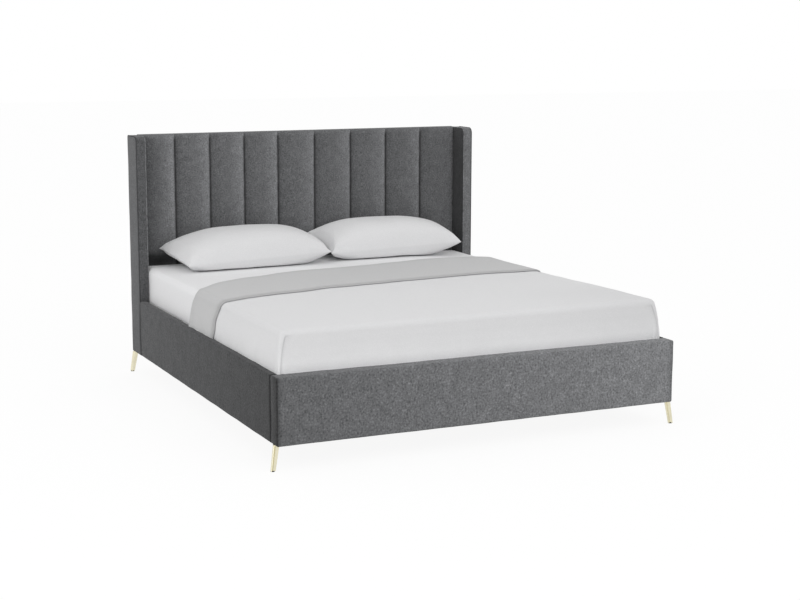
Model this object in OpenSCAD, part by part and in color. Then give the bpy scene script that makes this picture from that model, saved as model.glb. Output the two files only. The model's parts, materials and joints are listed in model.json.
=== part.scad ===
// Upholstered platform bed with a channelled headboard, side wings, metal legs and bedding.
// Millimetres, +Z up. The origin is on the floor under the middle of the bed.
// The foot is toward -Y, the headboard toward +Y, and left is -X.

/* [Mattress and sheet] */
// Width of the mattress
mattress_w = 1777; // [1400:1:2000]
// Length of the mattress
mattress_l = 1982; // [1800:1:2100]
// Thickness of the mattress at its border
mattress_t = 244; // [180:1:300]
// Rise of the mattress top from its border to its middle
mattress_crown = 6; // [1:0.5:12]
// Radius of the mattress corners, seen from above
mattress_corner_r = 45; // [30:1:90]
// Radius of the mattress's upper and lower edges
mattress_edge_r = 24; // [12:1:36]
// Depth of the mattress below the top of the rails
mattress_sink = 83; // [40:1:110]
// Thickness of the fitted sheet
sheet_t = 1.8; // [1:0.1:2.2]
// Width of the sheet's hem that lies under the mattress
sheet_hem = 120; // [60:5:200]

/* [Room round the mattress] */
// Gap from the mattress to each side rail
rail_gap = 23.5; // [18:0.5:40]
// Gap from the mattress to each wing
wing_gap = 2.5; // [2.3:0.1:6]
// Gap from the mattress to the foot rail
foot_gap = 7.5; // [7:0.5:14]
// Gap from the mattress to the crest of the channels
head_gap = 2.5; // [2.3:0.1:6]

/* [Coverlet] */
// Thickness of the coverlet on top
coverlet_t = 8; // [4:0.5:12]
// Thickness of the coverlet where it is tucked in
tuck_t = 4.2; // [3:0.1:4.8]
// Fullness of the coverlet over the side rails
side_puff = 17; // [8:0.5:20]
// Fullness of the coverlet over the foot rail
foot_puff = 11; // [6:0.5:14]
// Height of the tucked edge above the slats
tuck_lift = 23; // [10:1:40]
// Thickness of the turned-down band
band_t = 7; // [4:0.5:10]
// Distance from the mattress foot to the fold at its middle
fold_reach = 1440; // [1200:5:1600]
// Width of the turned-down band at its middle
band_w = 500; // [300:5:600]
// Slant of the fold across the bed
fold_slant = 3; // [0:0.5:6]
// Slant of the band's hem across the bed
hem_slant = 6; // [0:0.5:9]
// Distance by which the sides pull the fold toward the foot
fold_pull = 300; // [0:5:350]
// Length of the folded corner along the side
corner_fold_l = 190; // [100:5:260]
// Thickness of the folded corner
corner_fold_t = 2.4; // [1.5:0.1:2.8]

/* [Pillows] */
// Length of a pillow from tip to tip
pillow_w = 815; // [600:5:840]
// Depth of a pillow
pillow_d = 385; // [300:5:420]
// Thickness of a pillow
pillow_t = 240; // [160:5:260]
// Thickness of a pillowcase
case_t = 1.6; // [1:0.1:2.5]
// Share of a pillow's size by which its sides are drawn in
pillow_draw = 0.1; // [0:0.01:0.16]
// Height of a pillow's seam above the sheet
seam_lift = 82; // [60:1:110]
// Turn of the left pillow
pillow_turn_left = 4; // [0:0.5:6]
// Turn of the right pillow
pillow_turn_right = -2.5; // [-6:0.5:0]
// Distance from the mattress foot to the left pillow's middle
pillow_reach_left = 1789.5; // [1700:0.5:1800]
// Distance from the mattress foot to the right pillow's middle
pillow_reach_right = 1840; // [1700:0.5:1850]
// Gap between the pillows at their tips
pillow_gap = 10; // [4:1:60]

/* [Headboard] */
// Height of the headboard's top above the floor
headboard_h = 1212; // [1000:2:1400]
// Thickness of the headboard's board
headboard_board_t = 15; // [12:0.5:22]
// Thickness of the padding at the seams
seam_pad = 4; // [3.8:0.1:6]
// Rise of each channel from its seams to its crest
channel_crown = 26; // [12:1:40]
// Thickness of the channelled cover
channel_cover_t = 3; // [1.5:0.1:3.4]
// Height over which the channels roll back at the top
channel_roll = 28; // [14:1:50]
// Number of narrower channels on the left
left_channels = 4; // [1:1:6]
// Width of each narrower channel
left_channel_w = 187; // [150:1:210]
// Number of wider channels on the right
right_channels = 5; // [1:1:7]
// Height of the channels' lower edge above the slats
channel_lift = 28; // [10:1:80]
// Gap between the foam strips at a seam
foam_gap = 0.4; // [0.3:0.1:1]
// Thickness of the cloth on the headboard's rear
back_cloth_t = 1; // [0.6:0.1:2]
// Thickness of the wings
wing_t = 49; // [44:0.5:60]
// Depth of the wings from front to rear
wing_d = 154; // [130:1:200]
// Radius of the wings' upper front corners
wing_corner_r = 28; // [12:1:50]
// Radius of the wings' long edges
wing_edge_r = 9; // [6:0.5:12]
// Thickness of the padding and fabric on wings and foot rail
pad_t = 5; // [3:0.5:7]

/* [Rails] */
// Height of the rails' lower edge above the floor
leg_h = 107; // [70:1:200]
// Height of the upholstered rails
rail_h = 278; // [240:1:340]
// Thickness of each upholstered side rail
side_rail_t = 28; // [24:0.5:40]
// Thickness of the padding on a side rail's outer face
outer_pad_t = 7; // [5:0.5:9]
// Thickness of the lining on a side rail's inner face
inner_pad_t = 3; // [1.5:0.5:5]
// Thickness of the padding on a rail's upper and lower edges
edge_pad_t = 4; // [2:0.5:6]
// Radius of a rail's long edges
rail_edge_r = 8; // [5:0.5:9]
// Thickness of the upholstered foot rail
foot_rail_t = 70; // [56:1:100]
// Radius of the foot rail's upright corners
foot_corner_r = 12; // [8:0.5:16]
// Thickness of the foot rail's two boards
foot_board_t = 15; // [12:0.5:18]
// Width of the battens and blocks inside the foot rail
batten_w = 30; // [20:1:60]
// Length of the foot rail's end blocks
end_block_l = 60; // [50:1:90]

/* [Base] */
// Width and height of the ledgers
ledger_w = 30; // [22:1:40]
// Number of slats
slat_count = 12; // [8:1:14]
// Width of a slat
slat_w = 95; // [60:1:110]
// Thickness of a slat
slat_t = 18; // [12:0.5:25]
// Clearance at each end of a slat
slat_gap = 4; // [2:0.5:10]
// Width of the slat straps
strap_w = 25; // [15:1:40]
// Thickness of the slat straps
strap_t = 1.5; // [1:0.1:3]
// Thickness of the head cross rail
head_rail_t = 45; // [30:1:60]
// Height of the head cross rail
head_rail_h = 95; // [80:1:120]
// Width of the centre beam
beam_w = 45; // [30:1:60]
// Height of the centre beam
beam_h = 70; // [60:1:80]
// Thickness of the steel hangers and hook plates
plate_t = 2.5; // [2:0.1:4]
// Outer diameter of the centre legs
centre_leg_d = 38; // [28:1:50]
// Wall of the centre legs
centre_leg_wall = 2; // [1.5:0.1:3]
// Diameter of the levelling feet's stems
stem_d = 8; // [6:0.5:12]
// Diameter of the levelling feet's pads
glide_d = 32; // [24:1:44]
// Thickness of the levelling feet's pads
glide_t = 6; // [4:0.5:9]
// Travel of the levelling feet
glide_travel = 12; // [4:1:16]

/* [Legs] */
// Width of a leg's mounting plate
leg_plate_w = 46; // [44:1:50]
// Thickness of a leg's mounting plate
leg_plate_t = 4; // [3:0.5:6]
// Distance from the bed's side to a mounting plate
leg_plate_side = 10; // [4:0.5:12]
// Distance from the bed's end to a mounting plate
leg_plate_end = 20; // [14:0.5:22]
// Distance from the bed's side to a leg's axis at the top
leg_axis_side = 4; // [0:0.5:10]
// Distance from the bed's end to a leg's axis at the top
leg_axis_end = 34; // [28:0.5:40]
// Radius of a leg's fins at the top
fin_top_r = 15; // [12:0.5:18]
// Radius of a leg's fins at the bottom
fin_bottom_r = 12; // [8:0.5:14]
// Thickness of a leg's fins
fin_t = 4; // [3:0.5:6]
// Outward slope of a leg along its height
splay_side = 16; // [8:0.5:20]
// Lengthwise slope of a leg along its height
splay_end = 8; // [0:0.5:16]
// Thickness of the pads under the legs
leg_pad_t = 2; // [1:0.5:4]

/* [Fittings] */
// Diameter of the screws
screw_d = 4.5; // [3.5:0.1:5]
// Diameter of a screw head
screw_head_d = 8.5; // [7:0.1:9]
// Thickness of a screw head
screw_head_t = 1.5; // [1:0.1:1.8]
// Length of a short screw
short_screw_l = 13; // [10:0.5:14]
// Length of a hook plate's screw
hook_screw_l = 28; // [20:1:32]
// Length of a leg's screw
leg_screw_l = 26; // [18:1:30]
// Width of a corner bracket's two flanges
bracket_w = 38; // [34:1:40]
// Length of a corner bracket
bracket_l = 50; // [40:1:60]
// Thickness of a corner bracket
bracket_t = 3; // [2:0.1:4]
// Diameter of a dowel
dowel_d = 8; // [6:0.5:9]
// Length of a dowel
dowel_l = 60; // [40:1:66]

/* [Hidden] */
$fn = 48;

// Running clearances
hole_gap = 0.1;
skin_gap = 0.3;

// Places across the bed
rail_in = mattress_w / 2 + rail_gap;
rail_out = rail_in + side_rail_t;
wing_in = mattress_w / 2 + wing_gap;
wing_out = wing_in + wing_t;
rail_mid = rail_in + inner_pad_t + (side_rail_t - inner_pad_t - outer_pad_t) / 2;

// Places along the bed
headboard_t = back_cloth_t + headboard_board_t + seam_pad + channel_crown;
bed_l = foot_rail_t + foot_gap + mattress_l + head_gap + headboard_t;
foot_y = -bed_l / 2;
rear_y = bed_l / 2;
foot_in = foot_y + foot_rail_t;
mattress_y0 = foot_in + foot_gap;
mattress_y1 = mattress_y0 + mattress_l;
crest_y = mattress_y1 + head_gap;
board_y1 = rear_y - back_cloth_t;
board_y0 = board_y1 - headboard_board_t;
wing_y = rear_y - wing_d;
rail_y0 = foot_in + 2 * plate_t;
rail_y1 = wing_y - 2 * plate_t;
head_rail_y1 = mattress_y1;
head_rail_y0 = head_rail_y1 - head_rail_t;

// Heights
rail_top = leg_h + rail_h;
slat_top = rail_top - mattress_sink;
slat_bottom = slat_top - slat_t;
mattress_z = slat_top + sheet_t;
mattress_top = mattress_z + mattress_t;
sheet_top = mattress_top + mattress_crown + sheet_t;
channel_z = slat_top + channel_lift;

// Slats, one every slat_pitch from the foot to the wings
slat_y0 = rail_y0 + 6;
slat_pitch = (rail_y1 - 6 - slat_y0 - slat_w) / (slat_count - 1);

// Centre beam and its legs
beam_y0 = foot_in + plate_t;
beam_y1 = head_rail_y0 - plate_t;
beam_z = slat_bottom - beam_h;
centre_leg_count = 3;
centre_leg_ys = [for (i = [1:centre_leg_count]) beam_y0 + (beam_y1 - beam_y0) * i / (centre_leg_count + 1)];
centre_plate_l = 84;
centre_plate_t = 3;
tube_z = glide_t + glide_travel + 2;
plug_h = 15;

// Channels: the left ones have a set width and the right ones share the rest
right_channel_w = (2 * wing_in - left_channels * left_channel_w) / right_channels;
channel_xs = concat(
    [for (i = [0:left_channels]) -wing_in + i * left_channel_w],
    [for (i = [1:right_channels]) -wing_in + left_channels * left_channel_w + i * right_channel_w]);
channel_count = left_channels + right_channels;
channel_steps = 6;
roll_steps = 4;

// Colours
fabric = [0.34, 0.345, 0.355];
wood = [0.80, 0.67, 0.48];
plywood = [0.74, 0.60, 0.42];
foam = [0.93, 0.90, 0.78];
steel = [0.55, 0.56, 0.58];
black = [0.12, 0.12, 0.13];
gold = [0.84, 0.78, 0.60];
linen = [0.93, 0.93, 0.94];

function slat_name(i) = str("slat_", i < 10 ? "0" : "", i);

// Plain box between two corners
module box(low, high) {
    translate(low) cube(high - low);
}

// Left and right copies of what is modelled on the right
module side(s) {
    if (s < 0) mirror([1, 0, 0]) children();
    else children();
}

// Rectangle with round corners
module round_rect(low, high, r) {
    translate([low[0] + r, low[1]]) square([high[0] - low[0] - 2 * r, high[1] - low[1]]);
    translate([low[0], low[1] + r]) square([high[0] - low[0], high[1] - low[1] - 2 * r]);
    for (x = [low[0] + r, high[0] - r], y = [low[1] + r, high[1] - r]) translate([x, y]) circle(r = r);
}

// Solid through a list of rings with equal numbers of points, given anticlockwise seen from the last one
// The four-sided places between rings are split along one diagonal, or along the other when crossed
module loft(rings, crossed = false) {
    n = len(rings[0]);
    last = len(rings) - 1;
    sides = [for (i = [0:last - 1], j = [0:n - 1], half = [0, 1])
        let (a = i * n + j, b = a + n, d = i * n + (j + 1) % n, c = d + n)
            half == 0 ? [a, b, crossed ? d : c] : [crossed ? b : a, c, d]];
    caps = [[for (j = [0:n - 1]) j], [for (j = [n - 1:-1:0]) last * n + j]];
    polyhedron(points = [for (ring = rings, p = ring) p], faces = concat(sides, caps), convexity = 8);
}

// Screws: each site is a place, the rotation that turns +Z into the driving direction, and a length
function bracket_places() = [
    [wing_in, head_rail_y0, slat_top - head_rail_h / 2 - bracket_l / 2],
    [wing_in, board_y0, leg_h + 24]];

function bracket_sites() = [
    for (s = [-1, 1], p = bracket_places(), z = [bracket_l / 4, bracket_l * 3 / 4], f = [0, 1])
    f == 0 ? [[s * (p[0] - bracket_t), p[1] - bracket_w * 0.6, p[2] + z], [0, s * 90, 0], short_screw_l]
           : [[s * (p[0] - bracket_w * 0.6), p[1] - bracket_t, p[2] + z], [-90, 0, 0], short_screw_l]];

hanger_ear = 20;
function hanger_sites() = [
    for (x = [-1, 1] * (beam_w / 2 + plate_t + hanger_ear / 2), z = [0.35, 0.8], e = [0, 1])
    e == 0 ? [[x, beam_y0, beam_z + beam_h * z], [90, 0, 0], short_screw_l]
           : [[x, beam_y1, beam_z + beam_h * z], [-90, 0, 0], short_screw_l]];

function centre_plate_sites() = [for (y = centre_leg_ys, e = [-1, 1])
    [[0, y + e * centre_plate_l * 0.36, beam_z - centre_plate_t], [0, 0, 0], short_screw_l]];

hook_plate_h = 120;
hook_plate_z = leg_h + rail_h / 2 - hook_plate_h / 2;
hook_plate_w = 18;
flush = screw_head_t;
function hook_sites() = [for (s = [-1, 1], z = [10, hook_plate_h - 10], e = [0, 1, 2, 3])
    [[s * rail_mid,
      e == 0 ? rail_y1 + plate_t - flush : e == 1 ? wing_y - plate_t + flush
        : e == 2 ? rail_y0 - plate_t + flush : foot_in + plate_t - flush,
      hook_plate_z + z],
     [e == 0 || e == 3 ? 90 : -90, 0, 0],
     e == 3 ? short_screw_l + pad_t : hook_screw_l]];

ledger_screws = 6;
ledger_screw_l = ledger_w + inner_pad_t + 11;
function ledger_sites() = [for (s = [-1, 1], i = [0:ledger_screws - 1])
    [[s * (rail_in - ledger_w),
      slat_y0 + slat_w + 30 + (rail_y1 - rail_y0 - 2 * slat_w - 72) * i / (ledger_screws - 1),
      slat_bottom - ledger_w / 2], [0, s * 90, 0], ledger_screw_l]];

// Legs: a mounting plate under each corner, and the leg's axis at its top
plate_side = rail_out - leg_plate_side - leg_plate_w / 2;
plate_end = rear_y - leg_plate_end - leg_plate_w / 2;
leg_side = rail_out - leg_axis_side;
leg_end = rear_y - leg_axis_end;
leg_screw_x = 9;
leg_screw_y = 10;
function leg_sites() = [for (s = [-1, 1], e = [-1, 1], i = [-1, 1], j = [-1, 1])
    [[s * (plate_side + 2 + i * leg_screw_x), e * (plate_end + j * leg_screw_y), leg_h - leg_plate_t],
     [0, 0, 0], leg_screw_l]];

module at_site(site) {
    translate(site[0]) rotate(site[1]) children();
}

module screw(site) {
    at_site(site) {
        cylinder(d = screw_d, h = site[2]);
        translate([0, 0, -screw_head_t]) cylinder(d = screw_head_d, h = screw_head_t);
    }
}

module holes(sites) {
    for (site = sites) at_site(site) {
        translate([0, 0, -1]) cylinder(d = screw_d + 2 * hole_gap, h = site[2] + 1 + hole_gap);
        translate([0, 0, -screw_head_t - 1]) cylinder(d = screw_head_d + 2 * hole_gap, h = screw_head_t + 1);
    }
}

// Headboard
dowel_zs = [channel_z + 80, (channel_z + headboard_h) / 2, headboard_h - 130];
dowel_y = board_y0 + headboard_board_t / 2;

module dowels(gap) {
    for (s = [-1, 1], z = dowel_zs)
        translate([s * wing_in, dowel_y, z]) rotate([0, 90, 0])
            cylinder(d = dowel_d + 2 * gap, h = dowel_l + 2 * gap, center = true);
}

module headboard_board() {
    color(plywood) difference() {
        box([-wing_in, board_y0, leg_h], [wing_in, board_y1, headboard_h - channel_cover_t]);
        dowels(hole_gap);
        holes(bracket_sites());
    }
}

module headboard_dowels() {
    color(wood) dowels(0);
}

// Share of the full crown at a place across one channel, from -1 to 1
function channel_shape(u) = pow(max(0, 1 - u * u), 0.55);
function channel_depth(u) = seam_pad + channel_crown * channel_shape(u);

// One side of the cover seen from the end: up the front and over the roll, at a depth in front of the board
function front_line(depth, inset) = concat(
    [[board_y0 - depth + inset, channel_z]],
    [for (k = [0:roll_steps]) let (a = 90 * k / roll_steps)
        [board_y0 - (depth - inset) * cos(a), headboard_h - channel_roll + (channel_roll - inset) * sin(a)]]);

function flip(list) = [for (i = [len(list) - 1:-1:0]) list[i]];

function cover_ring(x, depth) = [for (p = concat(
    front_line(depth, channel_cover_t),
    [[board_y1, headboard_h - channel_cover_t], [board_y1, headboard_h]],
    flip(front_line(depth, 0)))) [x, p[0], p[1]]];

function foam_ring(x, depth) = [for (p = concat(
    [[board_y0, channel_z]], flip(front_line(depth, channel_cover_t + skin_gap)))) [x, p[0], p[1]]];

function channel_u(k) = -cos(180 * k / channel_steps);
function channel_x(i, k) = channel_xs[i] + (channel_xs[i + 1] - channel_xs[i]) * (1 + channel_u(k)) / 2;

module channel_cover() {
    color(fabric) loft(concat(
        [cover_ring(channel_xs[0], channel_depth(-1))],
        [for (i = [0:channel_count - 1], k = [1:channel_steps])
            cover_ring(channel_x(i, k), channel_depth(channel_u(k)))]));
}

// The foam is crossed, so that its front is split like the inside of the cover that lies over it
module channel_foam() {
    color(foam) for (i = [0:channel_count - 1]) intersection() {
        loft([for (k = [0:channel_steps]) foam_ring(channel_x(i, k), channel_depth(channel_u(k)))],
            crossed = true);
        box([channel_xs[i] + foam_gap / 2, crest_y, channel_z],
            [channel_xs[i + 1] - foam_gap / 2, board_y0, headboard_h - channel_cover_t - skin_gap]);
    }
}

module back_cloth() {
    color(black) box([-wing_in, board_y1, leg_h + pad_t], [wing_in, rear_y, headboard_h - channel_cover_t]);
}

// Outline of a wing from the side, drawn in by an inset
module wing_outline(inset) {
    r = wing_corner_r - inset;
    y0 = wing_y + inset;
    y1 = rear_y - inset;
    z1 = headboard_h - inset;
    translate([y0, leg_h + inset]) square([y1 - y0, z1 - r - leg_h - inset]);
    translate([y0 + r, leg_h + inset]) square([y1 - y0 - r, z1 - leg_h - inset]);
    translate([y0 + r, z1 - r]) circle(r = r);
}

module wing_solid(inset) {
    translate([wing_in + inset, 0, 0]) rotate([90, 0, 90])
        linear_extrude(wing_t - 2 * inset) wing_outline(inset);
}

// Hook plates: one on each rail end, and one on what it hooks into
module each_rail_end() {
    side_mid = (rail_y0 + rail_y1) / 2;
    for (s = [-1, 1]) side(s) {
        children();
        translate([0, 2 * side_mid, 0]) mirror([0, 1, 0]) children();
    }
}

hook_t = 3;
hook_h = 28;
hook_reach = 11;
hook_drop = 10;
hook_zs = [hook_plate_z + 26, hook_plate_z + hook_plate_h - 26 - hook_h];

// Rooms for the hooks in the wings and in the foot rail
module hook_rooms() {
    each_rail_end() for (z = hook_zs)
        box([rail_mid - hook_t, wing_y - plate_t - 1, z - 3],
            [rail_mid + hook_t, wing_y + hook_reach + 2, z + hook_h + 3]);
}

module rail_hook_plates() {
    color(steel) difference() {
        each_rail_end() {
            box([rail_mid - hook_plate_w / 2, rail_y1, hook_plate_z],
                [rail_mid + hook_plate_w / 2, rail_y1 + plate_t, hook_plate_z + hook_plate_h]);
            for (z = hook_zs) {
                box([rail_mid - hook_t / 2, rail_y1 + plate_t - 0.5, z + hook_drop],
                    [rail_mid + hook_t / 2, wing_y + hook_reach, z + hook_h]);
                box([rail_mid - hook_t / 2, wing_y + skin_gap, z],
                    [rail_mid + hook_t / 2, wing_y + hook_reach, z + hook_drop + 1]);
            }
        }
        holes(hook_sites());
    }
}

module post_hook_plates() {
    color(steel) difference() {
        each_rail_end() box([rail_mid - hook_plate_w / 2, wing_y - plate_t, hook_plate_z],
            [rail_mid + hook_plate_w / 2, wing_y, hook_plate_z + hook_plate_h]);
        hook_rooms();
        holes(hook_sites());
    }
}

module wing_cuts() {
    dowels(hole_gap);
    holes(bracket_sites());
    holes(leg_sites());
    holes(hook_sites());
    hook_rooms();
}

module wing_board(s) {
    color(plywood) difference() {
        side(s) wing_solid(pad_t);
        wing_cuts();
    }
}

module wing_cover(s) {
    color(fabric) difference() {
        side(s) intersection() {
            wing_solid(0);
            translate([0, 0, leg_h]) linear_extrude(headboard_h - leg_h)
                round_rect([wing_in, wing_y], [wing_out, rear_y + wing_edge_r], wing_edge_r);
        }
        side(s) wing_solid(pad_t);
        wing_cuts();
    }
}

// Side rails
module side_rail_board(s) {
    color(plywood) difference() {
        side(s) box([rail_in + inner_pad_t, rail_y0, leg_h + edge_pad_t],
            [rail_out - outer_pad_t, rail_y1, rail_top - edge_pad_t]);
        holes(ledger_sites());
        holes(hook_sites());
    }
}

module side_rail_cover(s) {
    color(fabric) difference() {
        side(s) difference() {
            translate([0, rail_y1, 0]) rotate([90, 0, 0]) linear_extrude(rail_y1 - rail_y0)
                round_rect([rail_in, leg_h], [rail_out, rail_top], rail_edge_r);
            box([rail_in + inner_pad_t, rail_y0 - 1, leg_h + edge_pad_t],
                [rail_out - outer_pad_t, rail_y1 + 1, rail_top - edge_pad_t]);
        }
        holes(ledger_sites());
    }
}

module ledger(s) {
    color(wood) difference() {
        side(s) box([rail_in - ledger_w, slat_y0, slat_bottom - ledger_w],
            [rail_in, rail_y1 - 6, slat_bottom]);
        holes(ledger_sites());
    }
}

// Foot rail
core_x = rail_out - pad_t;
core_y0 = foot_y + pad_t;
core_y1 = foot_in - pad_t;
core_z0 = leg_h + pad_t;
core_z1 = rail_top - pad_t;
gap_y0 = core_y0 + foot_board_t;
gap_y1 = core_y1 - foot_board_t;

module foot_cuts() {
    holes(leg_sites());
    holes(hook_sites());
    holes(hanger_sites());
    hook_rooms();
}

module foot_piece(low, high, tone) {
    color(tone) difference() {
        box(low, high);
        foot_cuts();
    }
}

module foot_rail_front_board() {
    foot_piece([-core_x, core_y0, core_z0], [core_x, gap_y0, core_z1], plywood);
}

module foot_rail_rear_board() {
    foot_piece([-core_x, gap_y1, core_z0], [core_x, core_y1, core_z1], plywood);
}

module foot_rail_top_batten() {
    foot_piece([-core_x, gap_y0, core_z1 - batten_w], [core_x, gap_y1, core_z1], wood);
}

module foot_rail_bottom_batten() {
    foot_piece([-core_x, gap_y0, core_z0], [core_x, gap_y1, core_z0 + batten_w], wood);
}

module foot_rail_end_block(s) {
    x0 = s < 0 ? -core_x : core_x - end_block_l;
    foot_piece([x0, gap_y0, core_z0 + batten_w], [x0 + end_block_l, gap_y1, core_z1 - batten_w], wood);
}

module foot_rail_cover() {
    color(fabric) difference() {
        intersection() {
            translate([0, 0, leg_h]) linear_extrude(rail_h)
                round_rect([-rail_out, foot_y], [rail_out, foot_in], foot_corner_r);
            translate([-rail_out, 0, 0]) rotate([90, 0, 90]) linear_extrude(2 * rail_out)
                round_rect([foot_y, leg_h], [foot_in, rail_top], rail_edge_r);
        }
        box([-core_x, core_y0, core_z0], [core_x, core_y1, core_z1]);
        foot_cuts();
    }
}

// Head cross rail and its corner brackets
module head_cross_rail() {
    color(wood) difference() {
        box([-wing_in, head_rail_y0, slat_top - head_rail_h], [wing_in, head_rail_y1, slat_top]);
        holes(bracket_sites());
        holes(hanger_sites());
    }
}

module corner_brackets() {
    color(steel) difference() {
        for (s = [-1, 1], p = bracket_places()) side(s) translate(p) {
            box([-bracket_t, -bracket_w, 0], [0, 0, bracket_l]);
            box([-bracket_w, -bracket_t, 0], [0, 0, bracket_l]);
        }
        holes(bracket_sites());
    }
}

// Slats and their straps
module slat(i) {
    y = slat_y0 + (i - 1) * slat_pitch;
    x = rail_in - slat_gap;
    color(wood) box([-x, y, slat_bottom], [x, y + slat_w, slat_top]);
}

module slat_straps() {
    x = rail_in / 2;
    y1 = slat_y0 + (slat_count - 1) * slat_pitch + slat_w;
    color(linen) for (s = [-1, 1])
        box([s * x - strap_w / 2, slat_y0, slat_bottom - strap_t], [s * x + strap_w / 2, y1, slat_bottom]);
}

// Centre beam with its hangers, legs and levelling feet
module centre_beam() {
    color(wood) difference() {
        box([-beam_w / 2, beam_y0, beam_z], [beam_w / 2, beam_y1, slat_bottom]);
        holes(centre_plate_sites());
    }
}

module beam_hanger() {
    x = beam_w / 2;
    box([-x - plate_t - hanger_ear, -plate_t, beam_z - plate_t], [x + plate_t + hanger_ear, 0, slat_bottom]);
    box([-x - plate_t, -1, beam_z - plate_t], [x + plate_t, 40, beam_z]);
    for (s = [-1, 1]) side(s) box([x, -1, beam_z - 1], [x + plate_t, 40, beam_z + beam_h * 0.7]);
}

module beam_hangers() {
    color(steel) difference() {
        union() {
            translate([0, beam_y0, 0]) beam_hanger();
            translate([0, beam_y1, 0]) mirror([0, 1, 0]) beam_hanger();
        }
        holes(hanger_sites());
    }
}

module centre_legs() {
    color(black) difference() {
        for (y = centre_leg_ys) translate([0, y, 0]) {
            difference() {
                translate([0, 0, tube_z])
                    cylinder(d = centre_leg_d, h = beam_z - centre_plate_t - tube_z + 1);
                translate([0, 0, tube_z + plug_h])
                    cylinder(d = centre_leg_d - 2 * centre_leg_wall,
                        h = beam_z - centre_plate_t - tube_z - plug_h);
                translate([0, 0, tube_z - 1]) cylinder(d = stem_d + 2 * hole_gap, h = plug_h + 2);
            }
            box([-beam_w / 2, -centre_plate_l / 2, beam_z - centre_plate_t],
                [beam_w / 2, centre_plate_l / 2, beam_z]);
        }
        holes(centre_plate_sites());
    }
}

module centre_glide(i) {
    color(black) translate([0, centre_leg_ys[i - 1], 0]) {
        cylinder(d1 = glide_d, d2 = glide_d - 4, h = glide_t);
        translate([0, 0, glide_t - 1]) cylinder(d = stem_d, h = tube_z + plug_h + 12 - glide_t);
    }
}

// Corner legs: three fins that taper and lean out from the mounting plate, which has a lobe over them
module fin(angle) {
    z1 = leg_h - leg_plate_t;
    hull() {
        translate([leg_side, leg_end, z1 - 1]) rotate([0, 0, angle])
            translate([0, -fin_t / 2, 0]) cube([fin_top_r, fin_t, 1.5]);
        translate([leg_side + splay_side, leg_end + splay_end, leg_pad_t]) rotate([0, 0, angle])
            translate([0, -fin_t / 2, 0]) cube([fin_bottom_r, fin_t, 1]);
    }
}

module corner_leg(s, e) {
    color(gold) difference() {
        side(s) mirror([0, e < 0 ? 1 : 0, 0]) {
            for (angle = [45, 165, 285]) fin(angle);
            hull() {
                box([plate_side - leg_plate_w / 2, plate_end - leg_plate_w / 2, leg_h - leg_plate_t],
                    [plate_side + leg_plate_w / 2, plate_end + leg_plate_w / 2, leg_h]);
                translate([leg_side, leg_end, leg_h - leg_plate_t]) cylinder(r = fin_top_r * 0.7, h = leg_plate_t);
            }
        }
        holes(leg_sites());
    }
}

module leg_pads() {
    color(black) for (s = [-1, 1], e = [-1, 1])
        translate([s * (leg_side + splay_side), e * (leg_end + splay_end), 0])
            cylinder(r = fin_bottom_r * 0.7, h = leg_pad_t);
}

module short_screws() {
    color(steel) for (site = concat(bracket_sites(), hanger_sites(), centre_plate_sites())) screw(site);
}

module long_screws() {
    color(steel) for (site = concat(hook_sites(), ledger_sites(), leg_sites())) screw(site);
}

// Soft slab round the mattress. Each level is a height and how far the slab stands out there, each way
corner_steps = 5;

function quarter(x, y, r, a0) = [for (i = [0:corner_steps])
    let (a = a0 + 90 * i / corner_steps) [x + r * cos(a), y + r * sin(a)]];

function slab_ring(level) = let (
    x = mattress_w / 2 + level[1],
    y0 = mattress_y0 - level[2],
    y1 = mattress_y1 + min(level[2], sheet_t),
    r = mattress_corner_r)
    [for (p = concat(quarter(x - r, y1 - r, r, 0), quarter(r - x, y1 - r, r, 90),
        quarter(r - x, y0 + r, r, 180), quarter(x - r, y0 + r, r, 270))) [p[0], p[1], level[0]]];

edge_steps = 4;
function edge_levels(z, out_x, out_y, out_z) = [for (i = [0:edge_steps]) let (a = 90 * i / edge_steps)
    [z - mattress_edge_r + (mattress_edge_r + out_z) * sin(a),
     -mattress_edge_r + (mattress_edge_r + out_x) * cos(a),
     -mattress_edge_r + (mattress_edge_r + out_y) * cos(a)]];

function crown_levels(z) = [
    [z + mattress_crown * 0.7, -mattress_w * 0.06, -mattress_w * 0.06],
    [z + mattress_crown, -mattress_w * 0.14, -mattress_w * 0.14]];

lower_r = mattress_edge_r * 0.7;
function mattress_levels(out) = concat(
    [for (a = [0, 45, 90]) [mattress_z + lower_r - (lower_r + out) * cos(a),
        -lower_r + (lower_r + out) * sin(a), -lower_r + (lower_r + out) * sin(a)]],
    edge_levels(mattress_top, out, out, out),
    crown_levels(mattress_top + out));

function coverlet_levels(more) = concat(
    [[slat_top + tuck_lift, sheet_t + 2 * tuck_t + more / 2, sheet_t + tuck_t],
     [rail_top + 3, sheet_t + 2 * tuck_t + more / 2, sheet_t + tuck_t],
     [rail_top + 40, sheet_t + side_puff + more / 2, sheet_t + foot_puff + more / 2]],
    edge_levels(mattress_top, sheet_t + side_puff + more / 2, sheet_t + foot_puff + more / 2,
        sheet_t + coverlet_t + more),
    crown_levels(mattress_top + sheet_t + coverlet_t + more));

module slab(levels) {
    loft([for (level = levels) slab_ring(level)]);
}

module mattress() {
    color(linen) slab(mattress_levels(0));
}

module fitted_sheet() {
    color(linen) difference() {
        slab(mattress_levels(sheet_t));
        slab(mattress_levels(0));
        box([-mattress_w / 2 + sheet_hem, mattress_y0 + sheet_hem, slat_top - 1],
            [mattress_w / 2 - sheet_hem, mattress_y1 - sheet_hem, mattress_z + 1]);
    }
}

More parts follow.
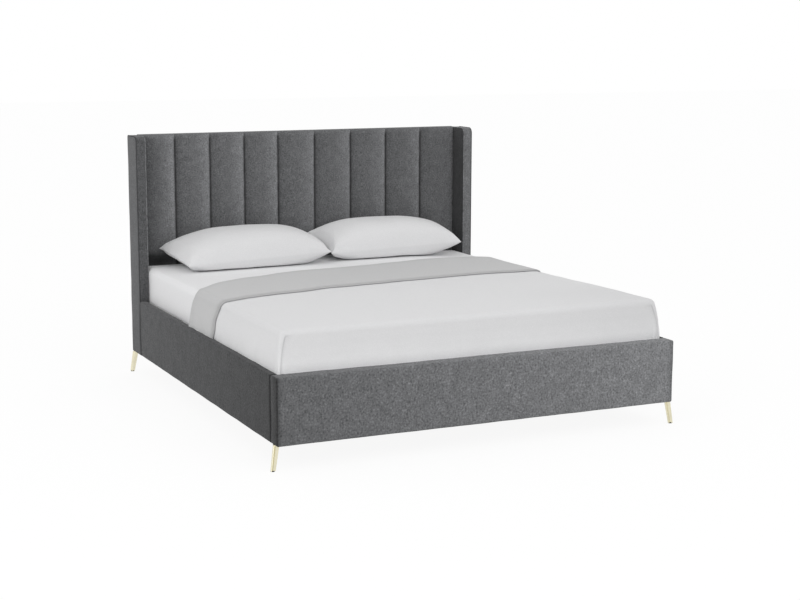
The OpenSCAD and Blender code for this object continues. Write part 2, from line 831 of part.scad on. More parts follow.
// Lines across the bed, drawn toward the foot where the sides are pulled down
function across(reach, slant, pull) = let (half = rail_in)
    [for (x = [-1, -0.96, -0.9, -0.8, -0.6, 0, 0.6, 0.8, 0.9, 0.96, 1]) [x * half,
        mattress_y0 + reach + x * half * tan(slant) - pull * exp(-(1 - abs(x)) / 0.12) * (x < 0 ? 1 : 0.4)]];

fold_line = across(fold_reach, fold_slant, fold_pull);
hem_line = across(fold_reach - band_w, hem_slant, fold_pull * 0.6);

module foot_side_of(line) {
    translate([0, 0, slat_top]) linear_extrude(mattress_t + 100)
        polygon(concat([[rail_in, foot_y], [-rail_in, foot_y]], line));
}

module corner_fold(s) {
    x = mattress_w / 2 + sheet_t + side_puff;
    z0 = rail_top + 40;
    z1 = mattress_top - mattress_edge_r;
    y0 = mattress_y0 + mattress_corner_r;
    side(s) translate([x - 0.4, 0, 0]) rotate([90, 0, 90]) linear_extrude(corner_fold_t + 0.4)
        polygon([[y0, z0], [y0 + corner_fold_l, z0], [y0, z1]]);
}

module coverlet() {
    color(linen) union() {
        difference() {
            intersection() {
                slab(coverlet_levels(0));
                foot_side_of(fold_line);
            }
            slab(mattress_levels(sheet_t));
        }
        difference() {
            intersection() {
                slab(coverlet_levels(band_t));
                foot_side_of(fold_line);
            }
            slab(coverlet_levels(0));
            foot_side_of(hem_line);
        }
        for (s = [-1, 1]) corner_fold(s);
    }
}

// Pillows: two skins that meet at a seam, flattened on the sheet and against the channels
pillow_cols = 14;
pillow_rows = 10;

function pillow_bulge(u, v) =
    pow((1 - pow(u, 4)) * (1 - pow(v, 4)), 0.5) * (1 - 0.25 * u * u) * (1 - 0.25 * v * v);

function pillow_point(i, j, up, inset) = let (
    u = -cos(180 * i / pillow_cols),
    v = -cos(180 * j / pillow_rows))
    [(pillow_w / 2 - 3 * inset) * u * (1 - pillow_draw * (1 - v * v)),
     (pillow_d / 2 - 3 * inset) * v * (1 - pillow_draw * (1 - u * u)),
     up * (pillow_t / 2 - inset) * pillow_bulge(u, v)];

// What lies past a limit is pressed into a thin layer in front of it
press = 12;
function pressed(y, limit) = let (over = max(0, y - limit + press)) y - over + press * over / (over + press);

// Turned and set down, and kept clear of the sheet and of the channels
function pillow_place(p, middle, turn, inset) = [
    middle[0] + p[0] * cos(turn) - p[1] * sin(turn),
    pressed(middle[1] + p[0] * sin(turn) + p[1] * cos(turn), crest_y - skin_gap - inset),
    max(middle[2] + p[2], sheet_top + skin_gap + inset)];

// The two triangles of one patch, cut so that a corner patch keeps a point inside the border
function patch(i, j, at) = (i < pillow_cols / 2) == (j < pillow_rows / 2)
    ? [[at(i, j), at(i, j + 1), at(i + 1, j + 1)], [at(i, j), at(i + 1, j + 1), at(i + 1, j)]]
    : [[at(i, j), at(i, j + 1), at(i + 1, j)], [at(i + 1, j), at(i, j + 1), at(i + 1, j + 1)]];

function patches(at) = [for (j = [0:pillow_rows - 1], i = [0:pillow_cols - 1], f = patch(i, j, at)) f];

function turned_over(faces) = [for (f = faces) flip(f)];

// The lower skin has the same border points as the upper one, so each row leaves them out
module pillow_solid(middle, turn, inset) {
    c = pillow_cols + 1;
    upper = [for (j = [0:pillow_rows], i = [0:pillow_cols])
        pillow_place(pillow_point(i, j, 1, inset), middle, turn, inset)];
    lower = [for (j = [1:pillow_rows - 1], i = [1:pillow_cols - 1])
        pillow_place(pillow_point(i, j, -1, inset), middle, turn, inset)];
    top_at = function (i, j) j * c + i;
    low_at = function (i, j) i == 0 || j == 0 || i == pillow_cols || j == pillow_rows
        ? j * c + i : len(upper) + (j - 1) * (pillow_cols - 1) + i - 1;
    polyhedron(points = concat(upper, lower), faces = concat(patches(top_at), turned_over(patches(low_at))),
        convexity = 6);
}

// One panel of a pillowcase: its outer skin, its inner skin and the seam allowance between them
module pillow_panel(middle, turn, up) {
    c = pillow_cols + 1;
    n = c * (pillow_rows + 1);
    points = [for (inset = [0, case_t], j = [0:pillow_rows], i = [0:pillow_cols])
        pillow_place(pillow_point(i, j, up, inset), middle, turn, inset)];
    rim = concat(
        [for (i = [0:pillow_cols - 1]) i],
        [for (j = [0:pillow_rows - 1]) j * c + pillow_cols],
        [for (i = [pillow_cols:-1:1]) pillow_rows * c + i],
        [for (j = [pillow_rows:-1:1]) j * c]);
    seam = [for (k = [0:len(rim) - 1], f = [0, 1]) let (a = rim[k], b = rim[(k + 1) % len(rim)])
        f == 0 ? [a, b, n + b] : [a, n + b, n + a]];
    faces = concat(patches(function (i, j) j * c + i),
        turned_over(patches(function (i, j) n + j * c + i)), seam);
    polyhedron(points = points, faces = up > 0 ? faces : turned_over(faces), convexity = 6);
}

function pillow_half(turn) = (pillow_w * cos(turn) + pillow_d * sin(abs(turn))) / 2;
function pillow_middle(s) = [
    s < 0 ? -pillow_half(pillow_turn_left) - pillow_gap / 2 : pillow_half(pillow_turn_right) + pillow_gap / 2,
    mattress_y0 + (s < 0 ? pillow_reach_left : pillow_reach_right),
    sheet_top + seam_lift];
function pillow_turn(s) = s < 0 ? pillow_turn_left : pillow_turn_right;

module pillow(s) {
    color(linen) pillow_solid(pillow_middle(s), pillow_turn(s), case_t);
}

module pillowcase(s) {
    color(linen) for (up = [1, -1])
        pillow_panel(pillow_middle(s) + [0, 0, up * skin_gap / 2], pillow_turn(s), up);
}

headboard_board();
channel_foam();
channel_cover();
back_cloth();
wing_board(-1);  // wing_board_left
wing_board(1);  // wing_board_right
wing_cover(-1);  // wing_cover_left
wing_cover(1);  // wing_cover_right
headboard_dowels();
corner_brackets();
head_cross_rail();
side_rail_board(-1);  // side_rail_board_left
side_rail_board(1);  // side_rail_board_right
side_rail_cover(-1);  // side_rail_cover_left
side_rail_cover(1);  // side_rail_cover_right
ledger(-1);  // ledger_left
ledger(1);  // ledger_right
foot_rail_front_board();
foot_rail_rear_board();
foot_rail_top_batten();
foot_rail_bottom_batten();
foot_rail_end_block(-1);  // foot_rail_end_block_left
foot_rail_end_block(1);  // foot_rail_end_block_right
foot_rail_cover();
rail_hook_plates();
post_hook_plates();
centre_beam();
beam_hangers();
centre_legs();
corner_leg(-1, -1);  // leg_front_left
corner_leg(1, -1);  // leg_front_right
corner_leg(-1, 1);  // leg_rear_left
corner_leg(1, 1);  // leg_rear_right
leg_pads();
slat_straps();
short_screws();
long_screws();
mattress();
fitted_sheet();
coverlet();
pillow(-1);  // pillow_left
pillow(1);  // pillow_right
pillowcase(-1);  // pillowcase_left
pillowcase(1);  // pillowcase_right
for (i = [1:centre_leg_count]) centre_glide(i);
for (i = [1:slat_count]) slat(i);
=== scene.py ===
"""Upholstered platform bed: grey wool headboard and rails, pale gold legs, mattress and bedding."""

import json
import logging
import math
from dataclasses import dataclass
from enum import Enum
from functools import cache
from typing import Callable, ClassVar, Sequence

import bmesh
import bpy
import numpy as np
from mathutils import Matrix, Vector


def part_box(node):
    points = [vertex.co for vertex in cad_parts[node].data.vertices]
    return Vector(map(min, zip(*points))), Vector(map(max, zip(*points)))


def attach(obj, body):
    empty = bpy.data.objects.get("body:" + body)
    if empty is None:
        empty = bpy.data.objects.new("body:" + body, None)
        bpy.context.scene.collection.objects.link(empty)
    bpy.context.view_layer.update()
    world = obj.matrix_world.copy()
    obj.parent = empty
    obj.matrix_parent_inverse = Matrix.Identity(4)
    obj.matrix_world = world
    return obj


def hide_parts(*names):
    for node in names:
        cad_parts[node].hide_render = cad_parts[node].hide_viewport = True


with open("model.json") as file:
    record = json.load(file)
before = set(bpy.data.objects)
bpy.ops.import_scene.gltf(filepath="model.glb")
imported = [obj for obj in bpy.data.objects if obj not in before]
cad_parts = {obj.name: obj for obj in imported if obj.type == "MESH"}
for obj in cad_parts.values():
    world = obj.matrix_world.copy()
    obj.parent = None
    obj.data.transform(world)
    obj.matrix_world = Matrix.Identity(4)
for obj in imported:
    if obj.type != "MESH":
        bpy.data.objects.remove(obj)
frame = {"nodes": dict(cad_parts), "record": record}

log = logging.getLogger("bed")
Colour = tuple[float, float, float]
Place = tuple[float, float, float]
Profile = Sequence[tuple[float, float]]
Faces = list[list[int]]
TOUCH = 1e-5  # metres; points nearer than this lie on each other
WAVE = 0.314  # metres from band to band in a wave texture of scale 1


class Weave(Enum):
    """How a cloth's threads lie."""

    FELT = "felt"
    PLAIN = "plain"
    KNIT = "knit"
    TAPE = "tape"


class Side(Enum):
    """Left and right, seen from the foot of the bed."""

    LEFT = -1
    RIGHT = 1

    @property
    def word(self) -> str:
        """The side's word in the names of nodes and pieces."""
        return self.name.lower()


class Graph:
    """A material and the shader nodes that give it its finish."""

    def __init__(self, name: str) -> None:
        """Starts a material with one Principled shader.

        Args:
            name: the material's name.
        """
        self.material = bpy.data.materials.new(name)
        self.material.use_nodes = True
        self.tree = self.material.node_tree
        self.shader = self.tree.nodes["Principled BSDF"]
        self.place = self.tree.nodes.new("ShaderNodeTexCoord").outputs["Object"]

    def fix(self, **values: object) -> None:
        """Sets values that are the same all over the surface.

        Args:
            values: socket names, with underscores for spaces, and their values.
        """
        for name, value in values.items():
            self.shader.inputs[name.replace("_", " ")].default_value = value

    def node(self, kind: str, values: dict | None = None, **settings: object) -> bpy.types.Node:
        """Adds a node.

        Args:
            kind: the node's type.
            values: sockets by name or number, each with a number or another node's output.
            settings: the node's own properties.

        Returns:
            The new node.
        """
        made = self.tree.nodes.new(kind)
        for name, value in settings.items():
            setattr(made, name, value)
        for name, value in (values or {}).items():
            self.feed(made.inputs[name], value)
        return made

    def feed(self, socket: bpy.types.NodeSocket, value: object) -> None:
        """Links another node's output to a socket, or sets the socket's own value."""
        if isinstance(value, bpy.types.NodeSocket):
            self.tree.links.new(value, socket)
        else:
            socket.default_value = value

    def noise(self, size: float, detail: float = 2.0, stretch: Place = (1, 1, 1)) -> bpy.types.NodeSocket:
        """Smooth noise in the piece's own space.

        Args:
            size: the size of a patch in metres.
            detail: how many finer layers it has.
            stretch: how much finer it is along each axis.

        Returns:
            The noise, about 0.5 on average.
        """
        scaled = self.node("ShaderNodeMapping", {"Vector": self.place, "Scale": stretch})
        return self.node(
            "ShaderNodeTexNoise", {"Vector": scaled.outputs[0], "Scale": 1 / size, "Detail": detail}
        ).outputs[0]

    def bands(self, size: float, axis: str) -> bpy.types.NodeSocket:
        """Parallel threads across one axis.

        Args:
            size: the distance from thread to thread in metres.
            axis: X, Y or Z.

        Returns:
            The height of the threads.
        """
        wave = self.node(
            "ShaderNodeTexWave",
            {"Vector": self.place, "Scale": WAVE / size, "Distortion": 1.2, "Detail Scale": 4.0},
            bands_direction=axis,
        )
        return wave.outputs[1]

    def math(self, operation: str, a: object, b: object) -> bpy.types.NodeSocket:
        """One sum on two numbers or sockets."""
        return self.node("ShaderNodeMath", {0: a, 1: b}, operation=operation).outputs[0]

    def ramp(self, fac: bpy.types.NodeSocket, stops: Sequence[tuple[float, Colour]]) -> bpy.types.NodeSocket:
        """Colours along a scale.

        Args:
            fac: where on the scale.
            stops: places and their colours.

        Returns:
            The colour.
        """
        made = self.node("ShaderNodeValToRGB", {0: fac})
        ends = made.color_ramp.elements
        while len(ends) < len(stops):
            ends.new(0.5)
        for end, (place, colour) in zip(ends, stops):
            end.position = place
            end.color = (*colour, 1)
        return made.outputs[0]

    def blend(self, fac: object, a: object, b: object, how: str = "MIX") -> bpy.types.NodeSocket:
        """Mixes two colours.

        Args:
            fac: the share of the second one.
            a: a colour or a socket.
            b: a colour or a socket.
            how: Blender's blend type.

        Returns:
            The mixed colour.
        """
        made = self.node("ShaderNodeMix", data_type="RGBA", blend_type=how)
        for number, value in ((0, fac), (6, a), (7, b)):
            self.feed(made.inputs[number], (*value, 1) if isinstance(value, tuple) else value)
        return made.outputs[2]

    def finish(
        self, colour: bpy.types.NodeSocket, height: bpy.types.NodeSocket, depth: float, strength: float
    ) -> bpy.types.Material:
        """Connects colour and relief to the shader.

        Args:
            colour: the surface's colour.
            height: its relief, from 0 to 1.
            depth: the relief's depth in metres.
            strength: how much of the relief shows.

        Returns:
            The material.
        """
        bump = self.node("ShaderNodeBump", {"Height": height, "Distance": depth, "Strength": strength})
        self.feed(self.shader.inputs["Base Color"], colour)
        self.feed(self.shader.inputs["Normal"], bump.outputs[0])
        return self.material


def shaded(colour: Colour, share: float) -> Colour:
    """A colour made lighter or darker by a share."""
    return tuple(min(1.0, c * share) for c in colour)


@dataclass(frozen=True)
class Cloth:
    """Woven, knitted or felted cloth."""

    name: str
    colour: Colour
    weave: Weave
    fleck: float = 0.004
    contrast: float = 0.1
    mottle: float = 0.04
    relief: float = 0.0006
    sheen: float = 0.1
    creases: float = 0.0
    with_painted_light: bool = False

    def make(self) -> bpy.types.Material:
        """The cloth's material: flecked yarns, soft patches and the relief of its threads."""
        g = Graph(self.name)
        g.fix(Roughness=0.92, Sheen_Weight=self.sheen, Sheen_Roughness=0.45, Specular_IOR_Level=0.25)
        flecks = g.noise(self.fleck, 3.0)
        dark = shaded(self.colour, 1 - self.contrast * 2)
        light = shaded(self.colour, 1 + self.contrast * 2.2)
        stops = [(0.3, dark), (0.47, shaded(self.colour, 0.94)), (0.56, self.colour), (0.74, light)]
        colour = g.ramp(flecks, stops)
        patches = g.ramp(
            g.noise(self.fleck * 5, 2.0),
            [(0.3, shaded((1, 1, 1), 1 - self.mottle * 2)), (0.7, (1, 1, 1))],
        )
        colour = g.blend(1.0, colour, patches, "MULTIPLY")
        # Painted light and shade: the colour is multiplied by the share that each piece carries at its
        # points.
        if self.with_painted_light:
            nap = g.node("ShaderNodeAttribute", attribute_name="nap").outputs["Color"]
            colour = g.blend(1.0, colour, nap, "MULTIPLY")
        if self.weave is Weave.FELT:
            streaks = g.noise(self.fleck * 0.8, 2.0, (1, 1, 0.3))
            fine = g.ramp(streaks, [(0.35, shaded((1, 1, 1), 1 - self.contrast)), (0.62, (1, 1, 1))])
            colour = g.blend(0.8, colour, fine, "MULTIPLY")
            height = g.math("ADD", g.noise(self.fleck * 0.5, 4.0), g.math("MULTIPLY", flecks, 0.6))
        elif self.weave is Weave.PLAIN:
            threads = g.math("ADD", g.bands(self.fleck * 0.4, "X"), g.bands(self.fleck * 0.4, "Y"))
            height = g.math("ADD", g.math("MULTIPLY", threads, 0.3), g.noise(self.fleck, 2.0))
        elif self.weave is Weave.KNIT:
            height = g.math("MULTIPLY", g.bands(self.fleck, "X"), g.bands(self.fleck, "Y"))
        else:
            height = g.math("ADD", g.bands(self.fleck, "X"), g.bands(self.fleck * 0.5, "Y"))
        if self.creases:
            height = g.math("ADD", height, g.math("MULTIPLY", g.noise(0.09, 3.0, (1, 0.6, 1)), self.creases))
        return g.finish(colour, height, self.relief, 0.7)


@dataclass(frozen=True)
class Timber:
    """Sawn or planed timber, or plywood."""

    name: str
    colour: Colour
    dark: Colour
    grain: float = 0.012
    plies: bool = False

    def make(self) -> bpy.types.Material:
        """The timber's material: long grain, pores and, on plywood, the layers in its edges."""
        g = Graph(self.name)
        g.fix(Roughness=0.62, Specular_IOR_Level=0.35)
        grain = g.noise(self.grain, 6.0, (0.06, 1.0, 1.0))
        pores = g.noise(self.grain * 0.2, 2.0, (0.1, 1.0, 1.0))
        colour = g.ramp(grain, [(0.3, self.dark), (0.55, self.colour), (0.8, shaded(self.colour, 1.12))])
        colour = g.blend(0.35, colour, g.ramp(pores, [(0.35, self.dark), (0.6, (1, 1, 1))]), "MULTIPLY")
        if self.plies:
            layers = g.bands(0.0032, "Y")
            colour = g.blend(0.25, colour, g.ramp(layers, [(0.4, self.dark), (0.6, (1, 1, 1))]), "MULTIPLY")
        return g.finish(colour, g.math("ADD", grain, pores), 0.0005, 0.35)


@dataclass(frozen=True)
class Metal:
    """Bare, plated or painted metal."""

    name: str
    colour: Colour
    roughness: float
    metallic: float = 1.0
    brushed: float = 0.0004
    coat: float = 0.0

    def make(self) -> bpy.types.Material:
        """The metal's material: fine brushing, slight tarnish and an uneven gloss."""
        g = Graph(self.name)
        g.fix(Metallic=self.metallic, Coat_Weight=self.coat, Coat_Roughness=0.2)
        cloud = g.noise(0.02, 3.0)
        brush = g.noise(0.0015, 2.0, (1, 1, 0.08))
        colour = g.ramp(cloud, [(0.3, shaded(self.colour, 0.9)), (0.65, self.colour)])
        spread = g.math("MULTIPLY_ADD", brush, 0.12)
        spread.node.inputs[2].default_value = self.roughness - 0.06
        g.feed(g.shader.inputs["Roughness"], spread)
        return g.finish(colour, brush, self.brushed, 0.25)


@dataclass(frozen=True)
class Moulded:
    """Moulded plastic, rubber or foam."""

    name: str
    colour: Colour
    roughness: float
    pore: float
    relief: float

    def make(self) -> bpy.types.Material:
        """The material: an even colour with fine pores and a slight mottle."""
        g = Graph(self.name)
        g.fix(Roughness=self.roughness, Specular_IOR_Level=0.3)
        colour = g.ramp(g.noise(self.pore * 6), [(0.3, shaded(self.colour, 0.92)), (0.7, self.colour)])
        return g.finish(colour, g.noise(self.pore, 3.0), self.relief, 0.5)


def cotton(name: str, colour: Colour, creases: float = 0.4, with_painted_light: bool = True) -> Cloth:
    """A fine white cotton of the bedding.

    Args:
        name: the finish's name.
        colour: its colour.
        creases: how much it creases.
        with_painted_light: whether its pieces carry a tint.

    Returns:
        The finish.
    """
    return Cloth(name, colour, Weave.PLAIN, 0.002, 0.012, 0.008, 0.0004, 0.1, creases, with_painted_light)


Finish = Cloth | Timber | Metal | Moulded
WOOL: Colour = (0.141, 0.143, 0.1475)
WHITE: Colour = (0.86, 0.86, 0.868)
BAND = Cloth("grey_cotton", (0.662, 0.662, 0.664), Weave.PLAIN, 0.002, 0.02, 0.01, 0.0004, 0.1, 0.3, True)
# Seam lines half as light as the wool: real seams, darkened as painted shade of the grooves and joints that
# they lie in.
SHADED_SEAM = Cloth("shaded_seam", shaded(WOOL, 0.5), Weave.FELT, 0.002, 0.1, 0.02, 0.0004, 0.0)
# Piping nearly twice as light as the wool: a real piping, its colour raised as a painted highlight along the
# wing's inner front edge.
LIT_PIPING = Cloth("piping", shaded(WOOL, 1.9), Weave.FELT, 0.012, 0.3, 0.1, 0.0006, 0.1)
WOOL_RAIL = Cloth("grey_wool_rail", WOOL, Weave.FELT, 0.0085, 0.24, 0.1, 0.0014, 0.12, with_painted_light=True)
# The pillowcases' cotton is a slightly darker copy of the bedding white: painted shade on their lit fronts.
PILLOW_COTTON = cotton("pillow_cotton", shaded(WHITE, 0.975))
FINISHES = {
    "grey_wool": Cloth("grey_wool", WOOL, Weave.FELT, 0.0062, 0.2, 0.08, 0.0012, 0.12, with_painted_light=True),
    "back_cloth": Cloth("lining", (0.035, 0.035, 0.038), Weave.PLAIN, 0.003, 0.1, 0.05, 0.0004, 0.05),
    "foam": Moulded("foam", (0.82, 0.78, 0.62), 0.9, 0.0015, 0.0008),
    "plywood": Timber("plywood", (0.55, 0.38, 0.20), (0.36, 0.22, 0.1), 0.02, True),
    "pine": Timber("pine", (0.64, 0.45, 0.25), (0.42, 0.25, 0.11), 0.012),
    "zinc_steel": Metal("zinc_steel", (0.55, 0.56, 0.58), 0.36),
    "black_steel": Metal("black_steel", (0.02, 0.02, 0.022), 0.42, 0.0, 0.0002, 0.2),
    "pale_gold": Metal("pale_gold", (0.80, 0.755, 0.57), 0.3),
    "black_plastic": Moulded("black_plastic", (0.02, 0.02, 0.02), 0.5, 0.0006, 0.0002),
    "felt": Cloth("felt", (0.05, 0.05, 0.05), Weave.FELT, 0.002, 0.15, 0.05, 0.0005, 0.1),
    "webbing": Cloth("webbing", (0.6, 0.58, 0.52), Weave.TAPE, 0.002, 0.05, 0.03, 0.0006, 0.05),
    "ticking": Cloth("ticking", (0.78, 0.78, 0.77), Weave.KNIT, 0.004, 0.03, 0.02, 0.0008, 0.1),
    # The sheet's cotton is a lighter copy of the bedding white: painted light where the headboard and pillows
    # shade it.
    "white_cotton": cotton("white_cotton", shaded(WHITE, 1.10), with_painted_light=False),
    "coverlet_cotton": cotton("coverlet_cotton", WHITE, 0.3),
    "filling": Moulded("filling", (0.9, 0.9, 0.88), 0.95, 0.003, 0.001),
}


@cache
def material(finish: Finish) -> bpy.types.Material:
    """The material of a finish, made once.

    Args:
        finish: the finish.

    Returns:
        Its material.
    """
    return finish.make()


def deselect() -> None:
    """Leaves object mode with nothing selected."""
    if bpy.context.mode != "OBJECT":
        bpy.ops.object.mode_set(mode="OBJECT")
    bpy.ops.object.select_all(action="DESELECT")


def add(name: str, data: bpy.types.ID) -> bpy.types.Object:
    """Puts a mesh, a curve, a lamp or a camera into the scene as a new object."""
    piece = bpy.data.objects.new(name, data)
    bpy.context.scene.collection.objects.link(piece)
    return piece


def pick(piece: bpy.types.Object) -> None:
    """Selects one piece and makes it active."""
    deselect()
    piece.select_set(True)
    bpy.context.view_layer.objects.active = piece


def apply_place(piece: bpy.types.Object) -> None:
    """Moves a piece's place, turn and size into its mesh."""
    pick(piece)
    bpy.ops.object.transform_apply(location=True, rotation=True, scale=True)


def apply_modifiers(piece: bpy.types.Object) -> None:
    """Applies every modifier on a piece, in order."""
    pick(piece)
    for modifier in list(piece.modifiers):
        bpy.ops.object.modifier_apply(modifier=modifier.name)


def shade(piece: bpy.types.Object, degrees: float = 180.0) -> None:
    """Shades a piece smooth, but for edges sharper than an angle."""
    pick(piece)
    bpy.ops.object.shade_smooth_by_angle(angle=math.radians(degrees))


def thicken(piece: bpy.types.Object, thickness: float, lining: int = 0) -> None:
    """Gives a sheet of cloth its thickness, inwards from its face.

    Args:
        piece: the sheet.
        thickness: how thick the cloth is, in metres.
        lining: how many materials further on its rear face's material is.
    """
    cloth = piece.modifiers.new("cloth", "SOLIDIFY")
    cloth.thickness = thickness
    cloth.offset = -1
    cloth.material_offset = lining
    apply_modifiers(piece)


def tint(piece: bpy.types.Object, shares: np.ndarray) -> None:
    """Writes the painted light and shade of a piece's cloth, as a share at each of its points."""
    layer = piece.data.attributes.new("nap", "FLOAT", "POINT")
    layer.data.foreach_set("value", shares)


def points_of(piece: bpy.types.Object, what: str = "co") -> np.ndarray:
    """The vertices' places, or their normals, as rows of x, y and z."""
    flat = np.empty(len(piece.data.vertices) * 3)
    piece.data.vertices.foreach_get(what, flat)
    return flat.reshape(-1, 3)


def put_points(piece: bpy.types.Object, points: np.ndarray) -> None:
    """Writes rows of x, y and z back to the piece's vertices."""
    piece.data.vertices.foreach_set("co", points.ravel())
    piece.data.update()


def ripples(points: np.ndarray, size: float, seed: int, waves: int = 10) -> np.ndarray:
    """A smooth random height at each point, the same on each run.

    Args:
        points: rows of x, y and z.
        size: the usual distance from crest to crest, in metres.
        seed: which of the random patterns.
        waves: how many plane waves it is made of.

    Returns:
        A height for each point, mostly from -1 to 1.
    """
    rng = np.random.default_rng(seed)
    total = np.zeros(len(points))
    for _ in range(waves):
        way = rng.normal(size=3)
        way *= 2 * math.pi / (size * np.linalg.norm(way) * rng.uniform(0.7, 1.5))
        total += np.sin(points @ way + rng.uniform(0, 2 * math.pi))
    return total / math.sqrt(waves)


def mesh_piece(name: str, points: np.ndarray, faces: Faces) -> bpy.types.Object:
    """A soft piece made from its surface.

    Args:
        name: the piece's name.
        points: rows of x, y and z in metres.
        faces: rows of point numbers.

    Returns:
        The new object.
    """
    mesh = bpy.data.meshes.new(name)
    mesh.from_pydata(points.tolist(), [], faces)
    mesh.validate()
    return add(name, mesh)


def dress(
    piece: bpy.types.Object,
    finish: Finish,
    body: str,
    nodes: Sequence[str] = (),
) -> bpy.types.Object:
    """Gives a piece its finish, its body and the nodes that it stands for.

    Args:
        piece: the piece.
        finish: its finish.
        body: the body that it rides on.
        nodes: the nodes that it replaces.

    Returns:
        The piece.
    """
    if not piece.data.materials:
        piece.data.materials.append(material(finish))
    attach(piece, body)
    if nodes:
        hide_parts(*nodes)
    log.info("%s: %d faces", piece.name, len(piece.data.polygons))
    return piece


def grid_faces(rows: int, columns: int, start: int = 0) -> Faces:
    """Four-sided faces between the points of a grid that is stored row by row."""
    firsts = [start + r * columns + c for r in range(rows - 1) for c in range(columns - 1)]
    return [[k, k + 1, k + columns + 1, k + columns] for k in firsts]


def smooth_line(knots: Profile, at: np.ndarray) -> np.ndarray:
    """A smooth curve through a few points.

    Args:
        knots: pairs of place and value, in order.
        at: the places asked for.

    Returns:
        The values there.
    """
    x, y = np.array(knots).T
    slope = np.gradient(y, x)
    i = np.clip(np.searchsorted(x, at) - 1, 0, len(x) - 2)
    span = x[i + 1] - x[i]
    t = np.clip((at - x[i]) / span, 0, 1)
    return (
        (2 * t**3 - 3 * t**2 + 1) * y[i]
        + (t**3 - 2 * t**2 + t) * slope[i] * span
        + (3 * t**2 - 2 * t**3) * y[i + 1]
        + (t**3 - t**2) * slope[i + 1] * span
    )


def rounded(over: np.ndarray, width: float) -> np.ndarray:
    """What is left of a height over a limit, turned in softly: 0 below it, unchanged well above it."""
    return np.where(over > width, over, np.where(over < -width, 0, (over + width) ** 2 / (4 * width)))


def rise(share: np.ndarray) -> np.ndarray:
    """A smooth step from 0 to 1."""
    t = np.clip(share, 0, 1)
    return t * t * (3 - 2 * t)


@dataclass(frozen=True)
class Nap:
    """Painted light and shade on the wool: lighter or darker by the way that a face turns to the lamps, and
    along the piece.
    """

    left: float = 0.8
    front: float = 1.0
    right: float = 1.2
    drift: Place = (0.0, 0.0, 0.0)

    def brush(self, piece: bpy.types.Object, shade_by: np.ndarray | float = 1.0) -> None:
        """Writes the painted light and shade to the piece's points.

        Args:
            piece: the piece, its modifiers applied.
            shade_by: a further share for each point, such as a seam's shade.
        """
        points, out = points_of(piece), points_of(piece, "normal")
        facing = (self.left, self.left, self.front, self.right, self.right)
        shares = np.interp(out[:, 0], (-1, -0.38, 0, 0.38, 1), facing)
        shares = shares * (1 + points @ np.array(self.drift)) * shade_by
        tint(piece, np.clip(shares, 0.05, 3))


@dataclass(frozen=True)
class Shadow:
    """A strip of wool that lies darker, beside a joint or round a corner."""

    place: Place
    size: Place
    dark: float

    def on(self, side: Side) -> "Shadow":
        """The same shadow on one side of the bed."""
        x, y, z = self.place
        return Shadow((side.value * x, y, z), self.size, self.dark)

    def share(self, points: np.ndarray) -> np.ndarray:
        """What is left of the wool's lightness at each point."""
        away = (points - np.array(self.place)) / np.array(self.size)
        return 1 - self.dark * np.exp(-(away**4).sum(1))


